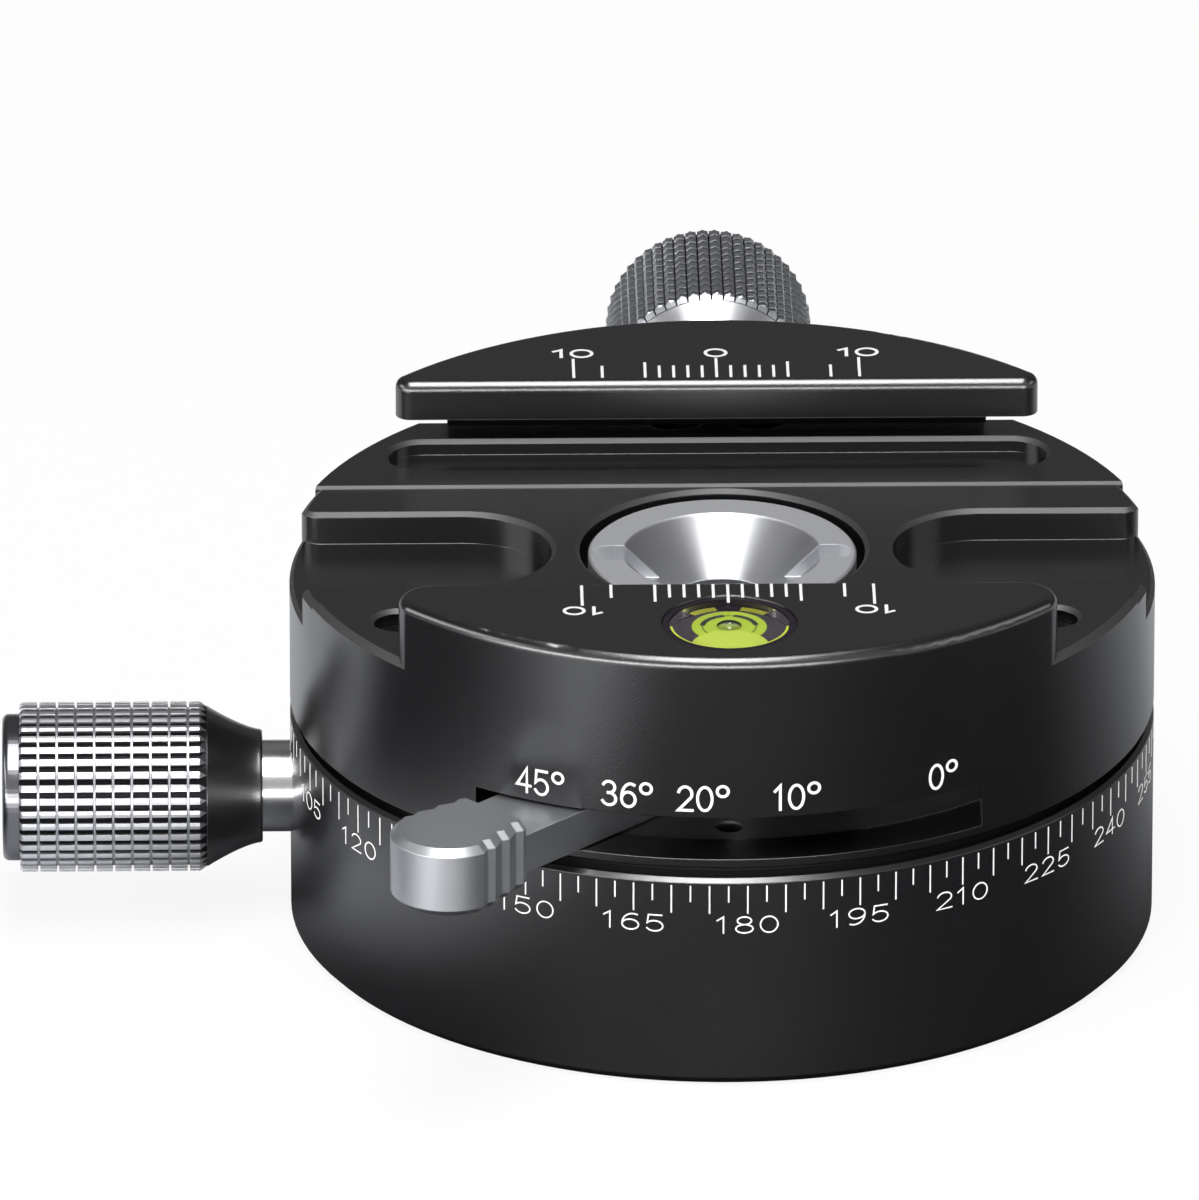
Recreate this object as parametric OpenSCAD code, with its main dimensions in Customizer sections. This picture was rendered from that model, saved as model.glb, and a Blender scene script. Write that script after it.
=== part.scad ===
// Indexing panning clamp: a round panning base, a body that turns on it with a five-position
// index lever, and a dovetail clamp for a camera plate on top.
// Millimetres. Origin at the centre of the underside, +Z up, index lever towards -Y, clamp knob towards +Y.

/* [Base] */
// Outer radius of the base and of the turning body
body_r = 30; // [29.5:0.5:36]
// Height of the base
base_h = 15.5; // [15:0.25:20]
// Thickness of the floor of the base
base_floor = 4.5; // [3:0.25:5.5]
// Thickness of the outer wall of the base
base_wall = 5.8; // [5.2:0.1:5.9]
// Chamfer at the foot of the base
base_foot_chamfer = 0.6; // [0.3:0.1:1]
// Chamfer at the top edge of the base
base_top_chamfer = 0.3; // [0.2:0.05:0.5]
// Gap between the base and the turning body
rotor_gap = 0.7; // [0.5:0.05:1]
// Radius of the tripod thread
tripod_thread_r = 4.76; // [3:0.01:5]
// Depth of the tripod thread
tripod_thread_depth = 9.5; // [7:0.25:10]
// Wall of the tripod thread insert
insert_wall = 1.9; // [1.2:0.1:2.4]

/* [Turning body] */
// Height of the turning body from its underside to the deck
rotor_h = 11.3; // [11:0.1:14]
// Chamfer along the edge of the deck
deck_chamfer = 0.45; // [0.2:0.05:0.6]
// Chamfer at the lower edge of the turning body
rotor_foot_chamfer = 0.25; // [0.1:0.05:0.4]
// Distance from the axis to the rear land of the deck
rear_land_y = 10.4; // [10.3:0.05:11]
// Distance from the axis to the front land of the deck
front_land_y = 9.5; // [9:0.1:10.5]
// Depth of the relief between the two lands
relief_depth = 0.2; // [0.1:0.05:0.3]
// Distance from the axis to the rear flat of the body
rear_flat_y = 21.6; // [21:0.1:22.5]
// Width of the side slots in the deck
side_slot_w = 12.3; // [9:0.1:13]
// Distance from the axis to the inner end of a side slot
side_slot_inner = 11.8; // [11.5:0.1:14]
// Depth of the side slots
side_slot_depth = 2.3; // [1:0.1:2.8]
// Radius of the corners where the side slots open
slot_mouth_r = 1.1; // [0.6:0.1:1.5]
// Chamfer at the outer edge of the slot floors
slot_rim_chamfer = 0.3; // [0.1:0.05:0.5]
// Chamfer along the slots and recesses
slot_chamfer = 0.3; // [0.2:0.05:0.4]
// Width of the long recess in the rear strip
recess_w = 5; // [4:0.1:5.4]
// Length of the long recess
recess_len = 46; // [30:0.5:47]
// Depth of the long recess
recess_depth = 1.1; // [0.6:0.05:1.3]
// Distance from the axis to the middle of the long recess
recess_y = 16; // [15.6:0.1:16.4]
// Gap in the counterbore around the spindle flange
flange_gap = 0.6; // [0.3:0.05:0.7]
// Radius of the sunk screws in the deck
deck_screw_r = 1.65; // [1.2:0.05:1.8]
// Distance of the sunk screws from the axis, sideways
deck_screw_x = 22.5; // [21:0.1:23.5]
// Distance of the sunk screws from the axis, forwards
deck_screw_y = 12.8; // [11:0.1:13]

/* [Jaws] */
// Height of the jaws above the deck
jaw_h = 4.42; // [3.6:0.02:5]
// Height of the dovetail nose above the deck
nose_h = 1.6; // [1.2:0.05:2]
// Distance from the axis to the fixed jaw's nose
fixed_nose_y = 16.5; // [16:0.1:17]
// Radius of the fixed jaw's ends, seen from above
fixed_end_r = 2.4; // [1.2:0.1:3]
// Distance from the axis to the moving jaw's nose
moving_nose_y = 18.4; // [18:0.1:19]
// Radius of the moving jaw's ends, seen from above
moving_end_r = 1.1; // [0.9:0.05:1.6]
// Half width of the moving jaw's leg
jaw_leg_x = 18.84; // [17:0.02:19.5]
// Fillet along the top of the jaws
jaw_fillet = 0.75; // [0.3:0.05:1]
// Height of the 45 degree face under the moving jaw's nose
moving_bevel_h = 0.75; // [0.5:0.05:0.9]
// Travel of the moving jaw
jaw_travel = 5; // [3:0.5:6]
// Radius of the jaw's guide pins
guide_pin_r = 2; // [1.5:0.1:2.2]
// Distance of the guide pins from the middle
guide_pin_x = 11; // [10:0.1:13]

/* [Clamp knob] */
// Radius of the clamp knob
clamp_knob_r = 7.3; // [6:0.1:8]
// Length of the clamp knob's knurl
clamp_knob_len = 12.3; // [8:0.1:16]
// Teeth around the clamp knob
clamp_knob_teeth = 52; // [24:2:64]
// Radius of the clamp screw
clamp_screw_r = 2.5; // [2:0.05:2.7]
// Depth of the clamp screw's axis below the deck
clamp_drop = 4.2; // [4:0.05:4.4]
// Length of the clamp knob's bare stem
clamp_stem_len = 2.4; // [1.5:0.1:5]
// Length of the clamp knob's collar
clamp_collar_len = 4.5; // [3:0.1:8]

/* [Lock knob] */
// Radius of the lock knob
lock_knob_r = 5.9; // [5.8:0.1:7]
// Length of the lock knob's knurl
lock_knob_len = 13; // [8:0.1:16]
// Teeth around the lock knob
lock_knob_teeth = 40; // [24:2:48]
// Radius of the lock screw's stem
lock_screw_r = 3.2; // [2.5:0.05:3.3]
// Height of the lock screw's axis above the underside
lock_z = 9.4; // [9.3:0.1:9.8]
// Length of the lock knob's bare stem
lock_stem_len = 1.94; // [1:0.02:4]
// Length of the lock knob's collar
lock_collar_len = 3.86; // [2:0.02:6]
// Radius of the collar where it meets the knob
lock_collar_r = 5.6; // [5.2:0.05:5.7]
// Radius of the collar where it meets the stem
lock_collar_neck_r = 4.05; // [3.8:0.05:4.6]
// Free travel of the lock shoe before it grips
lock_travel = 0.35; // [0.2:0.05:0.5]

/* [Spindle] */
// Radius of the spindle's shank
spindle_r = 5.6; // [5.3:0.05:5.7]
// Radius of the spindle's flange
spindle_flange_r = 9.3; // [8.8:0.05:9.4]
// Thickness of the spindle's flange
spindle_flange_t = 3.5; // [2.9:0.1:4]
// Depth of the flange below the deck
spindle_sink = 0.6; // [0.3:0.05:1]
// Radius of the conical recess at its rim
spindle_cone_r = 6.9; // [6:0.1:7.2]
// Radius of the bore through the spindle
spindle_bore_r = 3.4; // [2.5:0.1:3.8]
// Width of the spanner slot
spanner_slot_w = 2.4; // [1.6:0.1:3]
// Depth of the spanner slot
spanner_slot_depth = 2.4; // [1:0.1:2.6]
// Wall of the bearing bush
bush_wall = 0.75; // [0.6:0.05:0.8]

/* [Index lever] */
// Distance of the lever's pivot from the main axis
pivot_y = 13.3; // [13:0.1:13.5]
// Radius of the lever's pivot pin
pivot_r = 2; // [1.5:0.1:2.4]
// Thickness of the lever's arm
lever_t = 2.8; // [2:0.1:2.9]
// Width of the lever's arm
lever_w = 6.1; // [5:0.1:6.6]
// Width of the lever's paddle
paddle_w = 8; // [6.8:0.1:9]
// Thickness of the lever's paddle
paddle_t = 5; // [4:0.1:5.2]
// Length of the paddle from its inner end to the middle of its round tip
paddle_len = 4.35; // [4.2:0.05:8]
// Chamfer around the paddle
paddle_chamfer = 0.5; // [0.3:0.05:0.7]
// Gap between the turning body and the paddle's inner end, straight ahead
paddle_gap = 6.7; // [5.5:0.1:9]
// Angle of the lever at rest, from straight ahead
lever_rest = -44; // [-45:0.5:-42]
// Travel of the lever
lever_travel = 91; // [89:0.5:92]
// Room beside the lever at the ends of its slot
lever_side_gap = 0.5; // [0.3:0.05:1]
// Height of the lever's slot
lever_slot_h = 3.1; // [3:0.05:3.4]
// Length of the lever's inner arm, from the pivot to the ball
ball_arm = 6.8; // [6.6:0.1:7]
// Radius of the detent ball
ball_r = 1.1; // [0.9:0.05:1.2]
// Depth of the dimples in the index disc
dimple_depth = 0.35; // [0.2:0.05:0.4]
// Thickness of the index disc
disc_t = 2; // [1.4:0.1:2.4]
// Thickness of the turning body's bottom plate
plate_t = 0.8; // [0.7:0.05:1]
// Wall of the brake drum
drum_wall = 2; // [1.4:0.1:2]

/* [Level] */
// Radius of the level's window
level_r = 4.15; // [3:0.05:4.4]
// Wall of the level's cup
level_wall = 0.45; // [0.3:0.05:0.6]
// Distance of the level from the main axis
level_y = 23.7; // [23.2:0.1:24]
// Depth of the level's cup
level_depth = 3; // [2.4:0.1:3.6]

/* [Hidden] */
$fn = 96;

// Clearances: a seat inside one body, a running fit, and free room between moving pieces
fit = 0.05;
run = 0.06;
free = 0.3;
// Overlap of a cut past the face that it opens
past = 1;
// How far a round corner reaches past the body circle, so that the two cross and don't only touch
cross = 0.03;

// Heights
rotor_z = base_h + rotor_gap;
deck_z = rotor_z + rotor_h;
relief_z = deck_z - relief_depth;
jaw_top_z = deck_z + jaw_h;
nose_z = deck_z + nose_h;
slot_floor_z = rotor_z + plate_t;
slot_top_z = slot_floor_z + lever_slot_h;
lever_z = slot_floor_z + (lever_slot_h - lever_t) / 3;
disc_gap = 1.2;
disc_top_z = rotor_z - disc_gap;
boss_top_z = disc_top_z - disc_t;
clamp_z = deck_z - clamp_drop;
flange_top_z = deck_z - spindle_sink;
flange_z = flange_top_z - spindle_flange_t;
washer_t = 0.4;
counterbore_r = spindle_flange_r + flange_gap;
counterbore_z = flange_z - washer_t - 2 * fit;
rim_chamfer = 0.3;
leg_low_gap = 0.15;

// Radii of the base and of the brake
cavity_r = body_r - base_wall;
drum_gap = 1.2;
drum_r = cavity_r - drum_gap;
drum_bore_r = drum_r - drum_wall;
disc_edge_gap = 0.6;
disc_r = drum_bore_r - disc_edge_gap;
plate_lip = 3.5;
plate_r = body_r - plate_lip;
plate_hole_gap = 1.4;
drum_floor_gap = 1.5;
drum_low_z = base_floor + drum_floor_gap;
boss_r = 13;
bush_r = spindle_r + run + bush_wall;
hub_wall = 0.9;
glide_out_edge = 1.7;
glide_in_edge = 0.6;

// Tripod thread insert and the spindle's seat above it
insert_r = tripod_thread_r + insert_wall;
seat_web = 1.2;
spindle_low_z = tripod_thread_depth + seat_web;

// Screws: shank radius, length, head radius and head height
socket_r = 0.6;
disc_screw_r = 1;
disc_screw_len = 3;
disc_head_r = 1.55;
disc_head_t = 0.8;
disc_screw_inset = 2;
disc_screw_circle = spindle_r + disc_screw_inset;
plate_screw_r = 1;
plate_screw_len = 3;
plate_head_r = 1.5;
plate_head_t = 0.5;
deck_screw_sink = 1.1;
deck_screw_len = 5;
deck_socket_depth = 1.2;

// Index lever: directions are measured from straight ahead, positive towards +X
index_angles = [lever_rest, -24.2, -6.5, 15.5];
index_counts = [8, 10, 18, 36];
paddle_start = body_r - pivot_y + paddle_gap;
paddle_tip = paddle_start + paddle_len;
paddle_z = lever_z + lever_t / 2 - paddle_t / 2;
rib_pitch = 1.7;
rib_slope = 24.5;
rib_face = 0.53;
rib_drop = 0.34;
rib_taper = (rib_pitch - 2 * rib_face) * tan(rib_slope);
ball_boss_wall = 0.8;
ball_boss_r = ball_r + ball_boss_wall;
ball_bore_r = ball_r + run;
ball_z = disc_top_z + ball_r + fit;
ball_boss_gap = 0.5;
ball_boss_z = disc_top_z + ball_boss_gap;
ball_bore_roof = 0.6;
ball_bore_top_z = lever_z + lever_t - ball_bore_roof;
pivot_boss_wall = 2.1;
pivot_boss_r = pivot_r + pivot_boss_wall;
lever_pin_grip = 3;
lever_pin_top_z = slot_top_z + lever_pin_grip;
lever_pin_head_t = 0.6;
lever_pin_rim = 1.1;
lever_pin_head_r = pivot_r + lever_pin_rim;

// Guide pins, springs and the clamp screw's seat
leg_y = rear_flat_y + free;
pin_wall = 0.6;
pin_drop = 1;
pin_z = clamp_z - pin_drop;
pin_engagement = 6;
guide_pin_y = rear_flat_y - jaw_travel - pin_engagement;
guide_pin_end_y = sqrt(pow(body_r, 2) - pow(guide_pin_x + guide_pin_r, 2)) - pin_wall;
notch_w = 9.5;
notch_depth = 1.4;
notch_corner_r = 1.4;
spring_pocket = 4.2;
screw_wall = 0.5;
screw_end_y = counterbore_r + rim_chamfer + screw_wall;
screw_tip_gap = 0.4;
spot_face_depth = 0.8;
spot_face_y = body_r - spot_face_depth;
clamp_washer_rim = 2.8;
spot_face_gap = 0.6;
clamp_washer_r = clamp_screw_r + clamp_washer_rim;
spot_face_r = clamp_washer_r + spot_face_gap;
clamp_washer_t = 0.8;
clamp_neck_rim = 1;
clamp_neck_r = clamp_screw_r + clamp_neck_rim;
clamp_stem_y = spot_face_y + clamp_washer_t + 2 * fit;
clamp_collar_y = clamp_stem_y + clamp_stem_len;
clamp_knob_y = clamp_collar_y + clamp_collar_len;
cap_len = 1.2;
collar_hollow_r = 18;
cap_step = 0.8;
tooth = 0.3;

// Lock screw: distances outwards from the main axis
lock_collar_x = body_r + lock_stem_len;
lock_knob_x = lock_collar_x + lock_collar_len;
shoe_face_r = drum_r + lock_travel + fit;
shoe_t = 3;
shoe_back = shoe_face_r + shoe_t;
shoe_rim = 0.35;
shoe_r = lock_screw_r + shoe_rim;

// Bullseye level
level_floor = 0.5;
level_lens_t = 0.6;
level_rim_drop = 0.1;
level_lens_drop = 0.2;
level_base_z = jaw_top_z - level_depth;
level_fluid_z = level_base_z + level_floor + fit;
level_lens_z = jaw_top_z - level_lens_drop - level_lens_t;
bubble_r = 0.8;
bubble_z = level_lens_z - bubble_r - 2 * fit;

// Where the ball stands for a lever direction
function ball_at(a) = [-ball_arm * cos(a), -pivot_y - ball_arm * sin(a)];
function ring_r(a) = norm(ball_at(a));
function ring_phase(a) = atan2(ball_at(a)[1], ball_at(a)[0]);

// How far from the middle the lever's outer edge leaves the body, for a lever direction
function edge_x(a) =
    let (side = sign(a) * lever_w / 2,
         start = [side * cos(a), side * sin(a) - pivot_y],
         along = [sin(a), -cos(a)],
         m = start * along)
    abs(start[0] + (sqrt(m * m - start * start + body_r * body_r) - m) * along[0]);
lever_slot_x = max(edge_x(lever_rest), edge_x(lever_rest + lever_travel)) + lever_side_gap;

// A bar along X from a profile in Y and Z
module along_x(len) {
    rotate([90, 0, 90]) linear_extrude(len, center = true) children();
}

// A cylinder that runs along +Y from y0 to y1
module rod_y(r, y0, y1) {
    translate([0, y0, 0]) rotate([-90, 0, 0]) cylinder(r = r, h = y1 - y0);
}

// A cylinder that runs along -X from x0 to x1, distances outwards
module rod_left(r, x0, x1) {
    translate([-x0, 0, 0]) rotate([0, -90, 0]) cylinder(r = r, h = x1 - x0);
}

// A rectangle from the axis to radius r with its outer top corner rounded
module rounded_half(r, z0, z1, f) {
    translate([0, z0]) square([r - f, z1 - z0]);
    translate([0, z0]) square([r, z1 - z0 - f]);
    translate([r - f, z1 - f]) intersection() {
        circle(f);
        square(f);
    }
}

// Profile of a jaw's nose in Y and Z, with its top edge rounded
module nose_profile(nose_y, z0) {
    depth = body_r - nose_y + past;
    translate([nose_y + jaw_fillet, z0]) square([depth, jaw_top_z - z0]);
    translate([nose_y, z0]) square([depth, jaw_top_z - jaw_fillet - z0]);
    translate([nose_y + jaw_fillet, jaw_top_z - jaw_fillet]) circle(jaw_fillet);
}

// A jaw on the +Y side, from z0 up to the jaw tops: a straight nose, ends of radius end_r that run into the
// body circle, and a rounded top edge all the way round
module jaw_lip(nose_y, end_r, z0) {
    end_y = nose_y + end_r;
    end_x = sqrt(pow(body_r - end_r + cross, 2) - pow(end_y, 2));
    far = 2 * body_r / norm([end_x, end_y]);
    intersection() {
        rotate_extrude() rounded_half(body_r, z0, jaw_top_z, jaw_fillet);
        along_x(2 * body_r) nose_profile(nose_y, z0);
        translate([0, 0, z0]) linear_extrude(jaw_top_z - z0) polygon([
            [-end_x, nose_y - past], [end_x, nose_y - past], [end_x, end_y], far * [end_x, end_y],
            far * [-end_x, end_y], [-end_x, end_y]]);
    }
    for (side = [0, 1]) mirror([side, 0, 0]) intersection() {
        rotate_extrude() rounded_half(body_r, z0, jaw_top_z, jaw_fillet);
        translate([end_x, end_y, 0]) rotate_extrude() rounded_half(end_r, z0, jaw_top_z, jaw_fillet);
        translate([0, 0, z0]) linear_extrude(jaw_top_z - z0) polygon([
            [end_x, nose_y - past], [2 * body_r, nose_y - past], far * [end_x, end_y], [end_x, end_y]]);
    }
}

// A straight knurl along +Z: pointed teeth with chamfered ends
module knurl(r, len, teeth) {
    intersection() {
        linear_extrude(len) polygon([
            for (i = [0 : 2 * teeth - 1])
                let (a = 180 * (i + 0.5) / teeth, q = i % 2 == 0 ? r : r - tooth)
                [q * cos(a), q * sin(a)]
        ]);
        rotate_extrude() polygon([[0, 0], [r - 2 * tooth, 0], [r + past, 2 * tooth + past],
                                  [r + past, len - 2 * tooth - past], [r - 2 * tooth, len], [0, len]]);
    }
}

// A collar along +Z that widens from neck to rim in a slightly hollow curve, with a bore
module flared_collar(neck, rim, len, bore) {
    rise = [rim - neck, len];
    middle = [rim + neck, len] / 2;
    across = [rise[1], -rise[0]] / norm(rise);
    difference() {
        rotate_extrude() difference() {
            polygon([[0, 0], [neck, 0], [rim, len], [0, len]]);
            translate(middle + across * sqrt(pow(collar_hollow_r, 2) - rise * rise / 4))
                circle(collar_hollow_r);
        }
        translate([0, 0, -past]) cylinder(r = bore, h = len + 2 * past);
    }
}

// A knob's end cap along +Z: a shallow turned disc with a chamfered rim and a small centre dimple
module end_cap(r, len) {
    edge = 0.35;
    dimple = 0.8;
    rotate_extrude() polygon([[0, 0], [r, 0], [r, len - edge], [r - edge, len],
                              [dimple, len], [0, len - dimple / 2]]);
}

// A coil spring along +Z of round turns, as one tube of short straight sections
module coil(r, wire, len, turns) {
    steps = turns * 14;
    sides = 6;
    ring = [for (i = [0 : steps]) let (t = i / steps, a = 360 * turns * t)
            [for (k = [0 : sides - 1]) let (b = 360 * k / sides, q = r + wire * cos(b))
             [q * cos(a), q * sin(a), wire + (len - 2 * wire) * t + wire * sin(b)]]];
    points = [for (i = [0 : steps]) each ring[i]];
    walls = [for (i = [0 : steps - 1]) for (k = [0 : sides - 1])
             let (p = i * sides + k, q = i * sides + (k + 1) % sides)
             each [[p, p + sides, q], [q, p + sides, q + sides]]];
    first = [for (k = [1 : sides - 2]) [0, k, k + 1]];
    last = [for (k = [1 : sides - 2]) [steps * sides, steps * sides + k + 1, steps * sides + k]];
    polyhedron(points, concat(walls, first, last));
}

// Base

module base_housing() {
    c = base_foot_chamfer;
    t = base_top_chamfer;
    color([0.13, 0.13, 0.14]) difference() {
        rotate_extrude() polygon([
            [0, 0], [body_r - c, 0], [body_r, c], [body_r, base_h - t], [body_r - t, base_h],
            [cavity_r, base_h], [cavity_r, base_floor], [boss_r, base_floor], [boss_r, boss_top_z],
            [0, boss_top_z]]);
        translate([0, 0, -past]) cylinder(r = insert_r + fit, h = tripod_thread_depth + fit + past);
        translate([0, 0, spindle_low_z - fit]) cylinder(r = spindle_r + fit, h = base_h);
        disc_screw_places() translate([0, 0, boss_top_z - disc_screw_len - fit])
            cylinder(r = disc_screw_r + fit, h = disc_screw_len + past);
        translate([0, 0, lock_z]) {
            rod_left(lock_screw_r + run, cavity_r - past, body_r + past);
            rod_left(shoe_r + run, cavity_r - past, shoe_back + free);
        }
    }
}

module tripod_insert() {
    color([0.72, 0.72, 0.7]) difference() {
        cylinder(r = insert_r, h = tripod_thread_depth);
        translate([0, 0, -past]) cylinder(r = tripod_thread_r, h = tripod_thread_depth + 2 * past);
    }
}

module spindle_screw() {
    slot_end = spindle_flange_r - free - spanner_slot_w / 2;
    cone_depth = spindle_cone_r - spindle_bore_r;
    edge = 0.15;
    color([0.78, 0.78, 0.79]) difference() {
        union() {
            translate([0, 0, spindle_low_z]) cylinder(r = spindle_r, h = flange_top_z - spindle_low_z - past);
            rotate_extrude() polygon([
                [0, flange_z], [spindle_flange_r, flange_z], [spindle_flange_r, flange_top_z - edge],
                [spindle_flange_r - edge, flange_top_z], [0, flange_top_z]]);
        }
        translate([0, 0, spindle_low_z - past]) cylinder(r = spindle_bore_r, h = deck_z);
        translate([0, 0, flange_top_z - cone_depth])
            cylinder(r1 = spindle_bore_r, r2 = spindle_cone_r + past, h = cone_depth + past);
        translate([0, 0, flange_top_z - spanner_slot_depth]) {
            translate([-slot_end, -spanner_slot_w / 2, 0])
                cube([2 * slot_end, spanner_slot_w, spindle_flange_t]);
            for (side = [-1, 1]) translate([side * slot_end, 0, 0])
                cylinder(r = spanner_slot_w / 2, h = spindle_flange_t);
        }
    }
}

module spindle_washer() {
    color([0.6, 0.45, 0.25]) translate([0, 0, counterbore_z + fit]) difference() {
        cylinder(r = spindle_flange_r - free, h = washer_t);
        translate([0, 0, -past]) cylinder(r = spindle_r + fit, h = washer_t + 2 * past);
    }
}

// Four screws, each midway between two dimples of the inmost ring
module disc_screw_places() {
    for (i = [0 : 3])
        rotate(ring_phase(lever_rest) + 180 / index_counts[0] + 90 * i)
            translate([disc_screw_circle, 0, 0]) children();
}

// Dimples for the four index steps, and a smooth outer groove where the body pans freely
module index_disc() {
    color([0.62, 0.63, 0.65]) difference() {
        translate([0, 0, boss_top_z]) cylinder(r = disc_r, h = disc_t);
        translate([0, 0, boss_top_z - past]) cylinder(r = spindle_r + fit, h = disc_t + 2 * past);
        disc_screw_places() translate([0, 0, boss_top_z - past]) {
            cylinder(r = disc_screw_r + fit, h = disc_t + 2 * past);
            translate([0, 0, past + disc_t - disc_head_t])
                cylinder(r = disc_head_r + fit, h = disc_head_t + past);
        }
        for (k = [0 : len(index_counts) - 1])
            for (i = [0 : index_counts[k] - 1])
                rotate(ring_phase(index_angles[k]) + 360 * i / index_counts[k])
                    translate([ring_r(index_angles[k]), 0, ball_z - dimple_depth]) sphere(r = ball_r + run);
        rotate_extrude() translate([ring_r(lever_rest + lever_travel), ball_z - dimple_depth])
            circle(ball_r + run);
    }
}

module disc_screws() {
    color([0.5, 0.5, 0.52]) disc_screw_places() translate([0, 0, boss_top_z]) {
        translate([0, 0, -disc_screw_len])
            cylinder(r = disc_screw_r, h = disc_screw_len + disc_t - disc_head_t + 2 * fit);
        translate([0, 0, disc_t - disc_head_t + fit]) difference() {
            cylinder(r = disc_head_r, h = disc_head_t - 2 * fit);
            translate([0, 0, disc_head_t / 2]) cylinder(r = socket_r, h = past, $fn = 6);
        }
    }
}

module glide_ring() {
    color([0.25, 0.22, 0.2]) translate([0, 0, base_h]) difference() {
        cylinder(r = body_r - glide_out_edge, h = rotor_gap - fit);
        translate([0, 0, -past]) cylinder(r = cavity_r + glide_in_edge, h = rotor_gap + 2 * past);
    }
}

// Pan lock

module lock_shoe() {
    color([0.75, 0.6, 0.3]) difference() {
        translate([0, 0, lock_z]) rod_left(shoe_r, drum_bore_r, shoe_back);
        translate([0, 0, lock_z - shoe_r - past]) cylinder(r = shoe_face_r, h = 2 * (shoe_r + past));
    }
}

module lock_screw() {
    color([0.8, 0.8, 0.81]) translate([0, 0, lock_z])
        rod_left(lock_screw_r, shoe_back + fit, lock_knob_x + lock_knob_len / 2);
}

module lock_collar() {
    color([0.1, 0.1, 0.11]) translate([-lock_collar_x, 0, lock_z]) rotate([0, -90, 0])
        flared_collar(lock_collar_neck_r, lock_collar_r, lock_collar_len, lock_screw_r + fit);
}

module lock_knob() {
    color([0.82, 0.82, 0.83]) translate([-lock_knob_x, 0, lock_z]) rotate([0, -90, 0]) difference() {
        knurl(lock_knob_r, lock_knob_len, lock_knob_teeth);
        translate([0, 0, -past]) cylinder(r = lock_screw_r + fit, h = lock_knob_len / 2 + fit + past);
    }
}

module lock_cap() {
    color([0.55, 0.55, 0.57]) translate([-lock_knob_x - lock_knob_len, 0, lock_z]) rotate([0, -90, 0])
        end_cap(lock_knob_r - cap_step, cap_len);
}

// Turning body

// A cut from the face at z that runs along X from x0 to x1, round at the named ends, with a chamfered edge
module milled_slot(x0, x1, w, depth, z, round_ends) {
    r = w / 2;
    c = slot_chamfer;
    for (x = round_ends) translate([x, 0, 0]) {
        translate([0, 0, z - depth]) cylinder(r = r, h = depth + past);
        translate([0, 0, z - c]) cylinder(r1 = r, r2 = r + c + past, h = c + past);
    }
    translate([(x0 + x1) / 2, 0, 0]) along_x(x1 - x0)
        polygon([[-r, z - depth], [r, z - depth], [r, z - c], [r + c + past, z + past],
                 [-r - c - past, z + past], [-r, z - c]]);
}

module side_slots() {
    inner = side_slot_inner + side_slot_w / 2;
    for (side = [0, 180]) rotate(side) {
        milled_slot(inner, body_r + past, side_slot_w, side_slot_depth, relief_z, [inner]);
        slot_mouth();
        mirror([0, 1, 0]) slot_mouth();
    }
}

// Rounds the corner between the side slot's wall at +Y and the outside, and chamfers that half of the
// floor's edge
module slot_mouth() {
    r = slot_mouth_r;
    c = slot_chamfer;
    e = slot_rim_chamfer;
    wall_y = side_slot_w / 2;
    post_y = wall_y + r;
    post_x = sqrt(pow(body_r - r + cross, 2) - pow(post_y, 2));
    floor_z = relief_z - side_slot_depth;
    far = 2 * body_r / norm([post_x, post_y]);
    difference() {
        union() {
            translate([0, 0, floor_z]) linear_extrude(side_slot_depth + past)
                polygon([[post_x, post_y], [post_x, wall_y - r], [2 * body_r, wall_y - r],
                         far * [post_x, post_y]]);
            intersection() {
                rotate_extrude() polygon([[body_r - e, floor_z], [body_r + past, floor_z - e - past],
                                          [body_r + past, floor_z]]);
                translate([0, 0, floor_z - 2 * past]) linear_extrude(2 * past)
                    polygon([[0, 0], [2 * body_r, 0], far * [post_x, post_y]]);
            }
        }
        translate([post_x, post_y, floor_z - 2 * past]) cylinder(r = r, h = side_slot_depth + 2 * past - c);
        translate([post_x, post_y, relief_z - c]) cylinder(r1 = r, r2 = r - c, h = c);
    }
}

module long_recess() {
    half = (recess_len - recess_w) / 2;
    translate([0, recess_y, 0]) milled_slot(-half, half, recess_w, recess_depth, deck_z, [-half, half]);
}

// The notch in the rear flat that clears the jaw spring
module spring_notch() {
    low = clamp_z - notch_w / 2;
    half = notch_w / 2 - notch_corner_r;
    translate([0, rear_flat_y - notch_depth, low]) linear_extrude(deck_z - low + past) {
        translate([-half, 0]) square([2 * half, notch_depth + past]);
        translate([-notch_w / 2, notch_corner_r]) square([notch_w, notch_depth - notch_corner_r + past]);
        for (side = [-1, 1]) translate([side * half, notch_corner_r]) circle(notch_corner_r);
    }
}

module lever_slot() {
    translate([-lever_slot_x, -body_r - past, slot_floor_z])
        cube([2 * lever_slot_x, body_r + past - pivot_y, lever_slot_h]);
    difference() {
        translate([0, -pivot_y, slot_floor_z - past])
            cylinder(r = ball_arm + ball_boss_r + free, h = lever_slot_h + past);
        translate([0, 0, rotor_z - past]) cylinder(r = bush_r + hub_wall, h = rotor_h);
    }
}

module plate_screw_places() {
    for (a = [30, 150, 210, 330]) rotate(a) translate([(drum_r + plate_r) / 2, 0, 0]) children();
}

module deck_screw_places() {
    for (side = [-1, 1]) translate([side * deck_screw_x, -deck_screw_y, 0]) children();
}

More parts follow.
